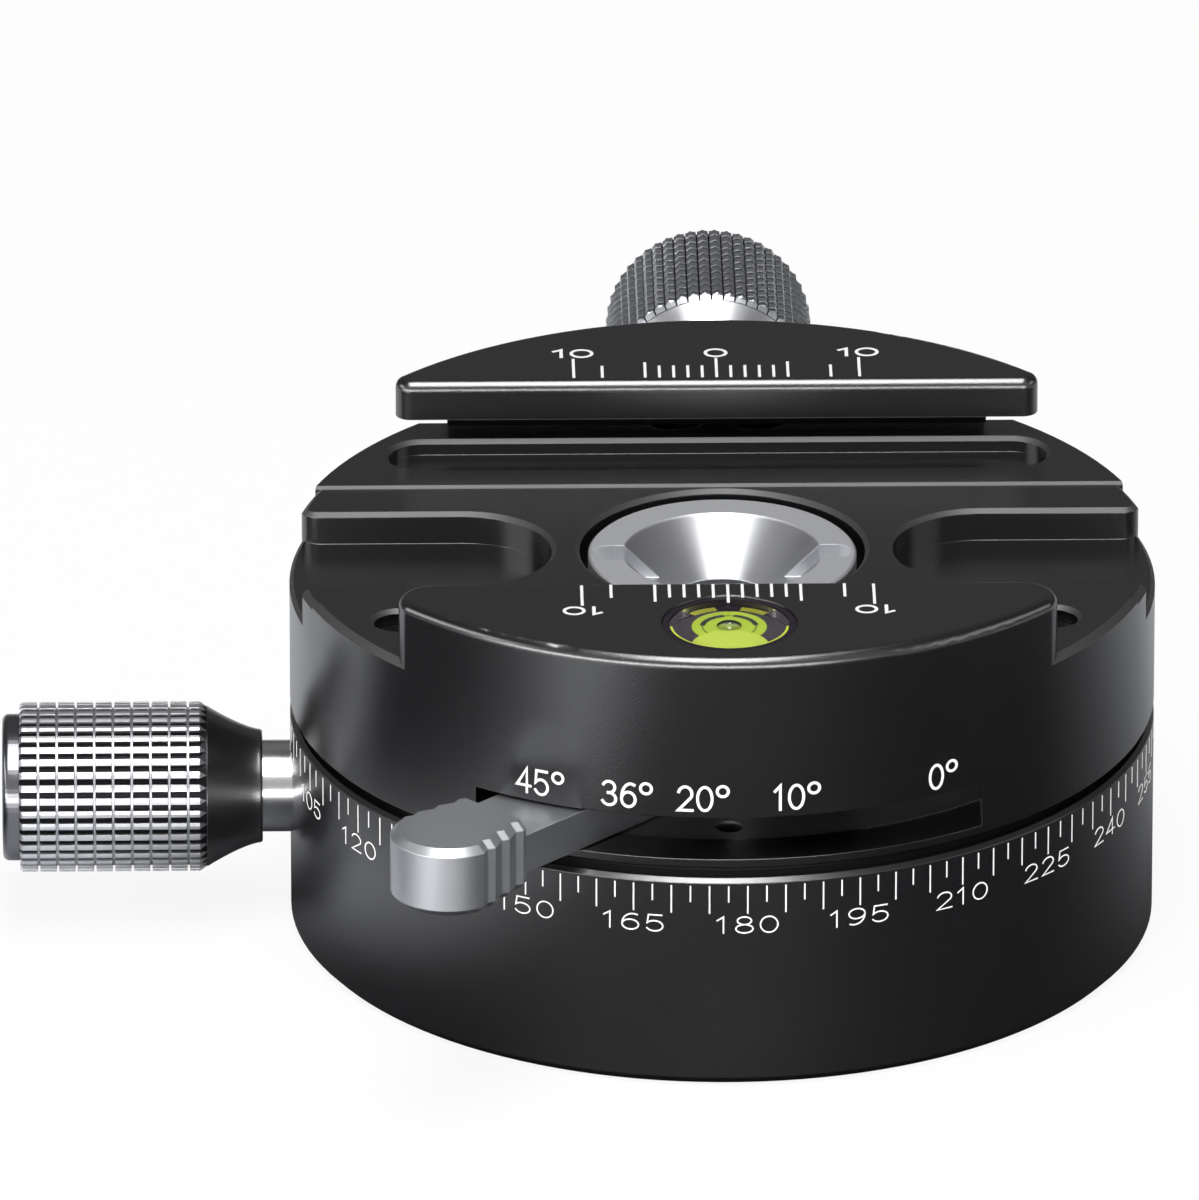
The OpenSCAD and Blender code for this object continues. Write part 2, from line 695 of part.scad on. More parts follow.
module body_blank() {
    c = rotor_foot_chamfer;
    wide = 4 * body_r;
    difference() {
        rotate_extrude() polygon([[0, rotor_z], [body_r - c, rotor_z], [body_r, rotor_z + c],
                                  [body_r, deck_z], [0, deck_z]]);
        translate([-wide / 2, rear_flat_y, 0]) cube([wide, body_r, 2 * deck_z]);
        along_x(wide) polygon([[-front_land_y, relief_z], [rear_land_y, relief_z],
                               [rear_land_y + relief_depth + past, deck_z + past],
                               [-front_land_y - relief_depth - past, deck_z + past]]);
        intersection() {
            deck_rim(relief_z);
            translate([-wide / 2, -front_land_y, 0]) cube([wide, front_land_y + rear_land_y, 2 * deck_z]);
        }
        intersection() {
            deck_rim(deck_z);
            translate([-wide / 2, -front_land_y - wide, 0]) cube([wide, wide, 2 * deck_z]);
        }
    }
}

// Cut that chamfers the body's edge at height z
module deck_rim(z) {
    d = deck_chamfer;
    rotate_extrude() polygon([[body_r - d, z], [body_r + past, z - d - past], [body_r + past, z + past],
                              [body_r - d, z + past]]);
}

module upper_body() {
    level_seat_r = level_r + level_wall + fit;
    fixed_low_z = deck_z - deck_chamfer - past;
    color([0.12, 0.12, 0.13]) difference() {
        union() {
            body_blank();
            rotate(180) difference() {
                jaw_lip(fixed_nose_y, fixed_end_r, fixed_low_z);
                along_x(2 * body_r) polygon([
                    [fixed_nose_y - past, nose_z + past], [fixed_nose_y + nose_h, deck_z],
                    [fixed_nose_y + nose_h, fixed_low_z - past], [fixed_nose_y - past, fixed_low_z - past]]);
            }
        }
        side_slots();
        long_recess();
        spring_notch();
        lever_slot();
        translate([0, 0, counterbore_z]) cylinder(r = counterbore_r, h = deck_z);
        translate([0, 0, relief_z - rim_chamfer])
            cylinder(r1 = counterbore_r, r2 = counterbore_r + rim_chamfer + past, h = rim_chamfer + past);
        translate([0, 0, rotor_z - past]) cylinder(r = bush_r + fit, h = rotor_h);
        translate([0, 0, rotor_z - past]) cylinder(r = plate_r + fit, h = plate_t + past);
        plate_screw_places() translate([0, 0, rotor_z])
            cylinder(r = plate_screw_r + fit, h = plate_t + plate_screw_len + fit);
        deck_screw_places() translate([0, 0, deck_z - deck_screw_sink - deck_screw_len - fit])
            cylinder(r = deck_screw_r + fit, h = deck_z);
        deck_screw_places() translate([0, 0, deck_z - rim_chamfer])
            cylinder(r1 = deck_screw_r + fit, r2 = deck_screw_r + fit + rim_chamfer + past,
                     h = rim_chamfer + past);
        translate([0, -pivot_y, rotor_z]) cylinder(r = pivot_r + fit, h = lever_pin_top_z + fit - rotor_z);
        translate([0, -level_y, level_base_z]) cylinder(r = level_seat_r, h = level_depth + past);
        translate([0, 0, clamp_z]) rod_y(clamp_screw_r + run, screw_end_y, rear_flat_y + past);
        for (side = [-1, 1]) translate([side * guide_pin_x, 0, pin_z])
            rod_y(guide_pin_r + run, guide_pin_y - free, rear_flat_y + past);
    }
}

module rotor_plate() {
    hole_r = 0.95;
    hole_y = drum_r + plate_hole_gap;
    color([0.14, 0.14, 0.15]) difference() {
        rotate_extrude() polygon([
            [drum_bore_r, drum_low_z], [drum_r, drum_low_z], [drum_r, rotor_z], [plate_r, rotor_z],
            [plate_r, rotor_z + plate_t - fit], [drum_bore_r, rotor_z + plate_t - fit]]);
        translate([-body_r, rear_flat_y - free, rotor_z]) cube([2 * body_r, body_r, 2 * plate_t]);
        plate_screw_places() translate([0, 0, rotor_z - past]) {
            cylinder(r = plate_screw_r + fit, h = plate_t + 2 * past);
            cylinder(r = plate_head_r + fit, h = plate_head_t + past);
        }
        translate([0, -hole_y, rotor_z - past]) cylinder(r = hole_r, h = plate_t + 2 * past);
    }
}

module plate_screws() {
    color([0.5, 0.5, 0.52]) plate_screw_places() translate([0, 0, rotor_z + fit]) difference() {
        union() {
            cylinder(r = plate_screw_r, h = plate_t + plate_screw_len - fit);
            cylinder(r = plate_head_r, h = plate_head_t - 2 * fit);
        }
        translate([0, 0, -past]) cylinder(r = socket_r, h = past + plate_head_t, $fn = 6);
    }
}

module spindle_bush() {
    color([0.66, 0.5, 0.28]) translate([0, 0, rotor_z]) difference() {
        cylinder(r = bush_r, h = counterbore_z - rotor_z);
        translate([0, 0, -past]) cylinder(r = spindle_r + run, h = rotor_h + 2 * past);
    }
}

module deck_screws() {
    socket = 0.8;
    color([0.08, 0.08, 0.08]) deck_screw_places()
        translate([0, 0, deck_z - deck_screw_sink - deck_screw_len]) difference() {
            cylinder(r = deck_screw_r, h = deck_screw_len);
            translate([0, 0, deck_screw_len - deck_socket_depth])
                cylinder(r = socket, h = deck_socket_depth + past, $fn = 6);
        }
}

// Bullseye level

module level_cup() {
    color([0.12, 0.1, 0.14]) translate([0, -level_y, level_base_z]) difference() {
        cylinder(r = level_r + level_wall, h = level_depth - level_rim_drop);
        translate([0, 0, level_floor]) cylinder(r = level_r, h = level_depth);
    }
}

module level_fluid() {
    color([0.72, 0.78, 0.16]) translate([0, -level_y, 0]) difference() {
        translate([0, 0, level_fluid_z]) cylinder(r = level_r - fit, h = level_lens_z - level_fluid_z - fit);
        translate([0, 0, bubble_z]) sphere(r = bubble_r + fit / 2);
    }
}

module level_bubble() {
    color([0.95, 0.97, 0.8]) translate([0, -level_y, bubble_z]) sphere(r = bubble_r);
}

module level_lens() {
    color([0.9, 0.95, 0.9, 0.4]) translate([0, -level_y, level_lens_z])
        cylinder(r = level_r - fit, h = level_lens_t);
}

// Index lever

module lever_pin() {
    color([0.7, 0.7, 0.72]) translate([0, -pivot_y, 0]) {
        translate([0, 0, lever_z - fit - lever_pin_head_t])
            cylinder(r = lever_pin_head_r, h = lever_pin_head_t);
        translate([0, 0, lever_z - 2 * fit]) cylinder(r = pivot_r, h = lever_pin_top_z - lever_z + 2 * fit);
    }
}

// A block as thick as the paddle with chamfered edges, whose side runs through a point at an angle
module chamfered_side(x, y, angle) {
    h = paddle_t / 2;
    c = paddle_chamfer;
    translate([x, y, 0]) rotate(angle) along_x(4 * paddle_w)
        polygon([[-2 * paddle_w, -h], [-c, -h], [0, c - h], [0, h - c], [-c, h], [-2 * paddle_w, h]]);
}

// Half of the paddle along +X from its inner end: a round tip, and ribs like saw teeth that get closer to
// the middle towards the inner end
module half_paddle() {
    w = paddle_w / 2;
    h = paddle_t / 2;
    c = paddle_chamfer;
    root_y = w - rib_drop;
    intersection() {
        translate([paddle_len, 0, 0]) rotate_extrude()
            polygon([[0, -h], [w - c, -h], [w, c - h], [w, h - c], [w - c, h], [0, h]]);
        chamfered_side(paddle_len, root_y, rib_slope);
        translate([paddle_len, 0, -h]) cube([paddle_w, paddle_w, paddle_t]);
    }
    for (i = [0 : ceil(paddle_len / rib_pitch) - 1]) {
        outer_x = paddle_len - rib_pitch * i;
        inner_x = max(0, outer_x - rib_pitch);
        peak_x = outer_x - rib_face;
        peak_y = root_y - rib_taper * i + rib_face * tan(rib_slope);
        intersection() {
            translate([inner_x, 0, -h]) cube([outer_x - inner_x, paddle_w, paddle_t]);
            chamfered_side(peak_x, peak_y, rib_slope);
            chamfered_side(peak_x, peak_y, -rib_slope);
        }
    }
}

module paddle() {
    half_paddle();
    mirror([0, 1, 0]) half_paddle();
}

module index_lever() {
    color([0.74, 0.75, 0.76]) translate([0, -pivot_y, 0]) rotate(lever_rest) difference() {
        union() {
            translate([0, 0, lever_z]) {
                cylinder(r = pivot_boss_r, h = lever_t);
                translate([-lever_w / 2, -paddle_start - past, 0])
                    cube([lever_w, paddle_start + past, lever_t]);
                translate([-ball_arm, -ball_boss_r, 0]) cube([ball_arm, 2 * ball_boss_r, lever_t]);
            }
            translate([-ball_arm, 0, ball_boss_z])
                cylinder(r = ball_boss_r, h = lever_z + lever_t - ball_boss_z);
            translate([0, -paddle_start, paddle_z + paddle_t / 2]) rotate(-90) paddle();
        }
        translate([0, 0, -past]) cylinder(r = pivot_r + run, h = deck_z);
        translate([-ball_arm, 0, -past]) cylinder(r = ball_bore_r, h = past + ball_bore_top_z);
    }
}

module detent_ball() {
    place = ball_at(lever_rest);
    color([0.8, 0.8, 0.82]) translate([place[0], place[1], ball_z]) sphere(r = ball_r);
}

module detent_spring() {
    place = ball_at(lever_rest);
    wire = 0.15;
    low = ball_z + ball_r + fit;
    color([0.6, 0.6, 0.62]) translate([place[0], place[1], low])
        coil(ball_r - wire, wire, ball_bore_top_z - fit - low, 3);
}

// Clamp

module moving_jaw() {
    leg_low_z = rotor_z + leg_low_gap;
    leg_top_z = nose_z + past;
    color([0.12, 0.12, 0.13]) difference() {
        union() {
            jaw_lip(moving_nose_y, moving_end_r, nose_z);
            intersection() {
                translate([0, 0, nose_z - moving_bevel_h]) cylinder(r = body_r, h = 2 * moving_bevel_h);
                along_x(2 * jaw_leg_x) polygon([
                    [moving_nose_y, nose_z], [moving_nose_y + moving_bevel_h, nose_z - moving_bevel_h],
                    [2 * body_r, nose_z - moving_bevel_h], [2 * body_r, nose_z + moving_bevel_h],
                    [moving_nose_y, nose_z + moving_bevel_h]]);
            }
            intersection() {
                translate([0, 0, leg_low_z]) cylinder(r = body_r, h = leg_top_z - leg_low_z);
                translate([-jaw_leg_x, leg_y, 0]) cube([2 * jaw_leg_x, body_r, 2 * deck_z]);
            }
        }
        translate([0, 0, clamp_z]) {
            rod_y(clamp_screw_r + run, leg_y - past, body_r + past);
            rod_y(notch_w / 2, leg_y - past, leg_y + spring_pocket);
            rod_y(spot_face_r, spot_face_y, body_r + past);
        }
        for (side = [-1, 1]) translate([side * guide_pin_x, 0, pin_z])
            rod_y(guide_pin_r + fit, leg_y - past, guide_pin_end_y + fit);
    }
}

module guide_pins() {
    color([0.75, 0.75, 0.77]) for (side = [-1, 1]) translate([side * guide_pin_x, 0, pin_z])
        rod_y(guide_pin_r, guide_pin_y, guide_pin_end_y);
}

module jaw_spring() {
    wire = 0.35;
    coil_gap = 0.75;
    low = rear_flat_y - notch_depth + fit;
    color([0.65, 0.65, 0.67]) translate([0, low, clamp_z]) rotate([-90, 0, 0])
        coil(clamp_screw_r + coil_gap + wire, wire, leg_y + spring_pocket - fit - low, 4);
}

module clamp_screw() {
    color([0.8, 0.8, 0.81]) translate([0, 0, clamp_z])
        rod_y(clamp_screw_r, screw_end_y + screw_tip_gap, clamp_knob_y + clamp_knob_len / 2);
}

module clamp_washer() {
    color([0.72, 0.72, 0.73]) translate([0, 0, clamp_z]) difference() {
        rod_y(clamp_washer_r, spot_face_y + fit, spot_face_y + fit + clamp_washer_t);
        rod_y(clamp_screw_r + fit, 0, 2 * body_r);
    }
}

module clamp_collar() {
    color([0.1, 0.1, 0.11]) translate([0, clamp_stem_y, clamp_z]) rotate([-90, 0, 0]) {
        difference() {
            cylinder(r = clamp_neck_r, h = clamp_stem_len);
            translate([0, 0, -past]) cylinder(r = clamp_screw_r + fit, h = clamp_stem_len + 2 * past);
        }
        translate([0, 0, clamp_stem_len])
            flared_collar(clamp_neck_r, clamp_knob_r - tooth, clamp_collar_len, clamp_screw_r + fit);
    }
}

module clamp_knob() {
    color([0.55, 0.55, 0.57]) translate([0, clamp_knob_y, clamp_z]) rotate([-90, 0, 0]) difference() {
        knurl(clamp_knob_r, clamp_knob_len, clamp_knob_teeth);
        translate([0, 0, -past]) cylinder(r = clamp_screw_r + fit, h = clamp_knob_len / 2 + fit + past);
    }
}

module clamp_cap() {
    color([0.55, 0.55, 0.57]) translate([0, clamp_knob_y + clamp_knob_len, clamp_z]) rotate([-90, 0, 0])
        end_cap(clamp_knob_r - cap_step, cap_len);
}

base_housing();
tripod_insert();
spindle_screw();
spindle_washer();
index_disc();
disc_screws();
glide_ring();
lock_shoe();
lock_screw();
lock_collar();
lock_knob();
lock_cap();
upper_body();
rotor_plate();
plate_screws();
spindle_bush();
deck_screws();
level_cup();
level_fluid();
level_bubble();
level_lens();
lever_pin();
index_lever();
detent_ball();
detent_spring();
moving_jaw();
guide_pins();
jaw_spring();
clamp_screw();
clamp_washer();
clamp_collar();
clamp_knob();
clamp_cap();
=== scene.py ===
"""Indexing panning clamp: finishes, knurls, engraved scales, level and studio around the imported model."""
import math

import bpy
import numpy as np
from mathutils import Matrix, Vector


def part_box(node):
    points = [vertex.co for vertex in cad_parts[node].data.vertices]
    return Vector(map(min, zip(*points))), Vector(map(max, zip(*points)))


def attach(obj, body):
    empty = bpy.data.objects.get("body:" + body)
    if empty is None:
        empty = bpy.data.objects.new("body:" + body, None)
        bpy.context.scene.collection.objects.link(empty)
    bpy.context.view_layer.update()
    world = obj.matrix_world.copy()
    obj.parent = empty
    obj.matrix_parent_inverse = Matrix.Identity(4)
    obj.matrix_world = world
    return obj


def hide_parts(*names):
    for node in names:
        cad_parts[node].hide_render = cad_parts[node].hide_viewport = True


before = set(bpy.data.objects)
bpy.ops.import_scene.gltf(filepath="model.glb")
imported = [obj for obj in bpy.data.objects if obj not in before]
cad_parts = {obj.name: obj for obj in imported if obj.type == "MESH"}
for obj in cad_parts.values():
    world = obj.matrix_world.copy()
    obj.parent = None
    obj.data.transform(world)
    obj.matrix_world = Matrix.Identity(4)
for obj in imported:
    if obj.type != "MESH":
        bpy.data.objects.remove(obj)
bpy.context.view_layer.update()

MM = 0.001

# Sizes in millimetres that the boxes of the CAD nodes do not give
DECK_Z = 27.5
FIXED_NOSE_Y = -16.5
JAW_FILLET = 0.75
SPINDLE_CONE_R = 6.9
LOCK_COLLAR_SMALL_R = 3.95

# Sockets of a colour Mix node, whose names repeat for each kind of data
MIX_A = 6
MIX_B = 7
MIX_RESULT = 2


def linear(code):
    """An sRGB hex colour as linear RGBA."""
    channels = np.array([int(code[i:i + 2], 16) for i in (0, 2, 4)]) / 255.0
    low = channels / 12.92
    high = ((channels + 0.055) / 1.055) ** 2.4
    return (*np.where(channels <= 0.04045, low, high).tolist(), 1.0)


def box_mm(node):
    """Lowest and highest corner of a CAD node in millimetres, as arrays."""
    low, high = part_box(node)
    return np.array(low) / MM, np.array(high) / MM


def axis_and_radius(node):
    """Height of a lying turned node's axis, and its radius, in millimetres."""
    low, high = box_mm(node)
    return (low[2] + high[2]) / 2, (high[2] - low[2]) / 2


# Meshes

def grid_faces(rows, columns):
    """Quads of a grid of points, row after row, with the last column joined to the first."""
    row, column = np.meshgrid(np.arange(rows - 1), np.arange(columns), indexing="ij")
    after = (column + 1) % columns
    corners = [row * columns + column, row * columns + after, (row + 1) * columns + after,
               (row + 1) * columns + column]
    return np.stack(corners, axis=-1).reshape(-1, 4)


def bar_faces(count):
    """Quads of a bar whose cross section has four corners, repeated count times, with both ends closed."""
    last = 4 * (count - 1)
    ends = [[3, 2, 1, 0], [last, last + 1, last + 2, last + 3]]
    return np.vstack([grid_faces(count, 4), ends])


def outward(points, quads):
    """Turns the faces round if the volume that they enclose comes out negative."""
    a, b, c, d = (points[quads[:, k]] for k in range(4))
    volume = np.sum(a * np.cross(b, c)) + np.sum(a * np.cross(c, d))
    return quads[:, ::-1] if volume < 0 else quads


def make_piece(name, points_mm, quads, body, material, replaced=(), smooth=False):
    """A mesh piece from points in millimetres, riding on a CAD body."""
    points = np.asarray(points_mm, float).reshape(-1, 3) * MM
    quads = outward(points, np.asarray(quads))
    mesh = bpy.data.meshes.new(name)
    mesh.from_pydata(points.tolist(), [], quads.tolist())
    mesh.validate()
    mesh.polygons.foreach_set("use_smooth", np.full(len(mesh.polygons), smooth))
    mesh.materials.append(material)
    mesh.update()
    piece = bpy.data.objects.new(name, mesh)
    bpy.context.scene.collection.objects.link(piece)
    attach(piece, body)
    if replaced:
        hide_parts(*replaced)
    return piece


def turned(profile, steps, place):
    """A turned form: (radius, height) points swept round an axis, with both ends on the axis. place maps
    radius cosine, radius sine and height to X, Y and Z."""
    profile = np.asarray(profile, float)
    angle = np.linspace(0, 2 * np.pi, steps, endpoint=False)
    ring_x = profile[:, :1] * np.cos(angle)
    ring_y = profile[:, :1] * np.sin(angle)
    height = np.repeat(profile[:, 1:], steps, axis=1)
    return place(ring_x, ring_y, height).reshape(-1, 3), grid_faces(len(profile), steps)


def along_left(x0, z):
    """Places a turned form on the lock screw's axis, its height running towards -X."""
    return lambda across, up, height: np.stack([x0 - height, across, z + up], axis=-1)


def along_back(y0, z):
    """Places a turned form on the clamp screw's axis, its height running towards +Y."""
    return lambda across, up, height: np.stack([across, y0 + height, z + up], axis=-1)


def upright(x, y, z0):
    """Places a turned form on a vertical axis."""
    return lambda across, along, height: np.stack([x + across, y + along, z0 + height], axis=-1)


# Materials

# How high the grain of a blasted or turned skin stands, and how wide the slow patches in its sheen are, in
# millimetres. The grain sizes given below are coarser than the real grit, so that they show in the picture.
GRAIN_HEIGHT = 0.02
BLACK_PATCH = 9
METAL_PATCH = 4


def add_node(tree, kind, links=None, **settings):
    """Adds a node; settings name its properties or inputs, links names the socket for each input."""
    made = tree.nodes.new(kind)
    for key, value in settings.items():
        if key in made.bl_rna.properties:
            setattr(made, key, value)
        else:
            made.inputs[key.replace("_", " ")].default_value = value
    for key, socket in (links or {}).items():
        tree.links.new(socket, made.inputs[key])
    return made


def new_material(name):
    """An empty node material with its output node and Object coordinates."""
    material = bpy.data.materials.new(name)
    material.use_nodes = True
    tree = material.node_tree
    tree.nodes.clear()
    output = add_node(tree, "ShaderNodeOutputMaterial")
    place = add_node(tree, "ShaderNodeTexCoord").outputs["Object"]
    return material, tree, output, place


def per_metre(size_mm):
    """Noise scale whose grains are about size_mm across."""
    return 1.0 / (size_mm * MM)


def rounded_normal(tree, radius_mm, grain, strength):
    """Edges rounded by radius_mm in the shading, with the grain bump on top."""
    edge = add_node(tree, "ShaderNodeBevel", samples=8, Radius=radius_mm * MM)
    return add_node(tree, "ShaderNodeBump", {"Height": grain, "Normal": edge.outputs["Normal"]},
                    Strength=strength, Distance=GRAIN_HEIGHT * MM).outputs["Normal"]


def black_anodised(name, colour, roughness, spread, grain_mm, milled=0.0):
    """Black dyed anodised aluminium, bead blasted before the bath: a dark oxide skin with a satin sheen,
    fine grain, and slow patches where the skin is a little smoother. The milled edges are just broken, and
    those of the jaws, above the deck, are well rounded. The sloping milled faces below the jaws are
    rougher."""
    slopes_end = DECK_Z + 0.3
    slopes_gone = DECK_Z + 0.6
    round_starts = DECK_Z + 1.5
    round_full = DECK_Z + 2.5
    broken_edge = 0.08
    round_edge = 0.3
    slope_facing = math.sqrt(0.5)
    slope_margin = 0.2
    grain_strength = 0.4
    oxide_ior = 1.65
    material, tree, output, place = new_material(name)
    patch = add_node(tree, "ShaderNodeTexNoise", {"Vector": place},
                     Scale=per_metre(BLACK_PATCH), Detail=3.0)
    grain = add_node(tree, "ShaderNodeTexNoise", {"Vector": place}, Scale=per_metre(grain_mm), Detail=2.0)
    sheen = add_node(tree, "ShaderNodeMapRange", {"Value": patch.outputs["Fac"]},
                     To_Min=roughness - spread, To_Max=roughness + spread)
    height = add_node(tree, "ShaderNodeSeparateXYZ", {"Vector": place})
    face_normal = add_node(tree, "ShaderNodeNewGeometry").outputs["True Normal"]
    facing = add_node(tree, "ShaderNodeSeparateXYZ", {"Vector": face_normal})
    below = add_node(tree, "ShaderNodeMapRange", {"Value": height.outputs["Z"]},
                     From_Min=slopes_gone * MM, From_Max=slopes_end * MM, To_Max=milled)
    sloping = add_node(tree, "ShaderNodeMath", {0: facing.outputs["Z"]}, operation="COMPARE")
    sloping.inputs[1].default_value = slope_facing
    sloping.inputs[2].default_value = slope_margin
    satin = add_node(tree, "ShaderNodeMath",
                     {0: below.outputs["Result"], 1: sloping.outputs["Value"], 2: sheen.outputs["Result"]},
                     operation="MULTIPLY_ADD")
    edge_radius = add_node(tree, "ShaderNodeMapRange", {"Value": height.outputs["Z"]},
                           From_Min=round_starts * MM, From_Max=round_full * MM,
                           To_Min=broken_edge * MM, To_Max=round_edge * MM)
    edge = add_node(tree, "ShaderNodeBevel", {"Radius": edge_radius.outputs["Result"]}, samples=8)
    skin = add_node(tree, "ShaderNodeBump",
                    {"Height": grain.outputs["Fac"], "Normal": edge.outputs["Normal"]},
                    Strength=grain_strength, Distance=GRAIN_HEIGHT * MM)
    shader = add_node(tree, "ShaderNodeBsdfPrincipled",
                      {"Roughness": satin.outputs["Value"], "Normal": skin.outputs["Normal"]},
                      Base_Color=linear(colour), Metallic=0.0, IOR=oxide_ior, Specular_IOR_Level=1.0)
    tree.links.new(shader.outputs["BSDF"], output.inputs["Surface"])
    return material


def bright_metal(name, colour, roughness, spread, grain_mm, edge_mm=0.06, grain_strength=0.1):
    """Bare or clear anodised metal: coloured by its own reflection, with the grain that blasting or a fine
    turned finish leaves."""
    material, tree, output, place = new_material(name)
    patch = add_node(tree, "ShaderNodeTexNoise", {"Vector": place},
                     Scale=per_metre(METAL_PATCH), Detail=3.0)
    grain = add_node(tree, "ShaderNodeTexNoise", {"Vector": place}, Scale=per_metre(grain_mm), Detail=2.0)
    sheen = add_node(tree, "ShaderNodeMapRange", {"Value": patch.outputs["Fac"]},
                     To_Min=roughness - spread, To_Max=roughness + spread)
    shader = add_node(tree, "ShaderNodeBsdfPrincipled",
                      {"Roughness": sheen.outputs["Result"],
                       "Normal": rounded_normal(tree, edge_mm, grain.outputs["Fac"], grain_strength)},
                      Base_Color=linear(colour), Metallic=1.0)
    tree.links.new(shader.outputs["BSDF"], output.inputs["Surface"])
    return material


def spindle_steel(name, colour):
    """Turned stainless steel: the flange is satin, and the cone inside its rim is smoother."""
    cone_roughness = 0.34
    flange_roughness = 0.58
    cone_ends = SPINDLE_CONE_R - 0.15
    flange_starts = SPINDLE_CONE_R + 0.05
    grain_mm = 0.12
    grain_strength = 0.08
    edge_mm = 0.08
    material, tree, output, place = new_material(name)
    parts = add_node(tree, "ShaderNodeSeparateXYZ", {"Vector": place})
    flat = add_node(tree, "ShaderNodeCombineXYZ", {"X": parts.outputs["X"], "Y": parts.outputs["Y"]})
    radius = add_node(tree, "ShaderNodeVectorMath", {0: flat.outputs["Vector"]}, operation="LENGTH")
    grain = add_node(tree, "ShaderNodeTexNoise", {"Vector": place}, Scale=per_metre(grain_mm), Detail=2.0)
    sheen = add_node(tree, "ShaderNodeMapRange", {"Value": radius.outputs["Value"]},
                     From_Min=cone_ends * MM, From_Max=flange_starts * MM,
                     To_Min=cone_roughness, To_Max=flange_roughness)
    shader = add_node(tree, "ShaderNodeBsdfPrincipled",
                      {"Roughness": sheen.outputs["Result"],
                       "Normal": rounded_normal(tree, edge_mm, grain.outputs["Fac"], grain_strength)},
                      Base_Color=linear(colour), Metallic=1.0)
    tree.links.new(shader.outputs["BSDF"], output.inputs["Surface"])
    return material


def knurled_metal(name, colour):
    """Clear anodised aluminium with a cut knurl: the tops of the teeth are bright, and the grooves are
    painted dark, as painted shade. The mesh's own attribute for it is 0 at the bottom of a groove and 1
    on a tooth."""
    # Painted shade: the channels and ring grooves are tinted towards this dark colour
    painted_shade_colour = "1C1C1E"
    smoothest = 0.36
    roughest = 0.44
    grain_mm = 0.3
    edge_mm = 0.03
    material, tree, output, place = new_material(name)
    unshaded = add_node(tree, "ShaderNodeAttribute", attribute_name="unshaded")
    tint = add_node(tree, "ShaderNodeMix", {"Factor": unshaded.outputs["Fac"]}, data_type="RGBA")
    tint.inputs[MIX_A].default_value = linear(painted_shade_colour)
    tint.inputs[MIX_B].default_value = linear(colour)
    grain = add_node(tree, "ShaderNodeTexNoise", {"Vector": place}, Scale=per_metre(grain_mm), Detail=2.0)
    sheen = add_node(tree, "ShaderNodeMapRange", {"Value": grain.outputs["Fac"]},
                     To_Min=smoothest, To_Max=roughest)
    edge = add_node(tree, "ShaderNodeBevel", samples=4, Radius=edge_mm * MM)
    shader = add_node(tree, "ShaderNodeBsdfPrincipled",
                      {"Base Color": tint.outputs[MIX_RESULT], "Roughness": sheen.outputs["Result"],
                       "Normal": edge.outputs["Normal"]}, Metallic=1.0)
    tree.links.new(shader.outputs["BSDF"], output.inputs["Surface"])
    return material


def plain_finish(name, colour, roughness, grain_mm, **settings):
    """A moulded or painted surface, a liquid or a clear plastic, with a faint grain in its gloss."""
    spread = 0.1
    material, tree, output, place = new_material(name)
    grain = add_node(tree, "ShaderNodeTexNoise", {"Vector": place}, Scale=per_metre(grain_mm), Detail=2.0)
    sheen = add_node(tree, "ShaderNodeMapRange", {"Value": grain.outputs["Fac"]},
                     To_Min=roughness * (1.0 - spread), To_Max=min(1.0, roughness * (1.0 + spread)))
    shader = add_node(tree, "ShaderNodeBsdfPrincipled", {"Roughness": sheen.outputs["Result"]},
                      Base_Color=linear(colour), **settings)
    tree.links.new(shader.outputs["BSDF"], output.inputs["Surface"])
    return material


def level_spirit(name, colour, grain_mm=0.6):
    """A colour of the level's inside: flat, with no gloss of its own."""
    return plain_finish(name, colour, 0.5, grain_mm, Specular_IOR_Level=0.0)


# Anodised body and jaws: near black, with soft bright edges and a fine tooth
BLACK = black_anodised("black_anodised_satin", "0A0A0C", roughness=0.23, spread=0.02, grain_mm=0.1,
                       milled=0.34)
# Anodised base and lock collar: as dark as the body, a touch softer from the lathe
BLACK_TURNED = black_anodised("black_anodised_turned", "101012", roughness=0.25, spread=0.02, grain_mm=0.1)
# Anodised bottom plate in the lever's slot: a dull dark grey, painted lighter than its dark anodising, as
# painted light standing in for light that hardly reaches the slot's floor
PLATE_PAINTED_LIGHT = black_anodised("anodised_plate_painted_light", "48484B", roughness=0.45, spread=0.03, grain_mm=0.14)
# Bead blasted aluminium of the lever: pale and frosted, with broad soft lights
BLASTED = bright_metal("aluminium_bead_blasted", "CCCED2", roughness=0.42, spread=0.03, grain_mm=0.16,
                       edge_mm=0.1, grain_strength=0.3)
# Turned aluminium of the clamp's collar and cap: bright, with long lights round it
TURNED = bright_metal("aluminium_turned", "DCDDE0", roughness=0.3, spread=0.03, grain_mm=0.2,
                      edge_mm=0.1, grain_strength=0.03)
# Turned and dyed aluminium of the lock cap: dark grey with a light streak
TURNED_DARK = bright_metal("aluminium_turned_dark", "77777B", roughness=0.26, spread=0.03, grain_mm=0.2,
                           edge_mm=0.1, grain_strength=0.03)
# Polished steel of the screws, pins and ball: light and dark bands side by side
POLISHED = bright_metal("steel_polished", "DADBDD", roughness=0.2, spread=0.02, grain_mm=0.3,
                        edge_mm=0.06, grain_strength=0.02)
# Ground steel of the hidden discs, fasteners and springs: an even grey
GROUND = bright_metal("steel_ground", "B4B5B8", roughness=0.35, spread=0.04, grain_mm=0.2)
# Bearing bronze: dull gold
BRONZE = bright_metal("bearing_bronze", "B08A4E", roughness=0.38, spread=0.04, grain_mm=0.2)
# Stainless steel of the spindle: a frosted flange round a shining cone
SPINDLE = spindle_steel("stainless_turned", "E2E3E6")
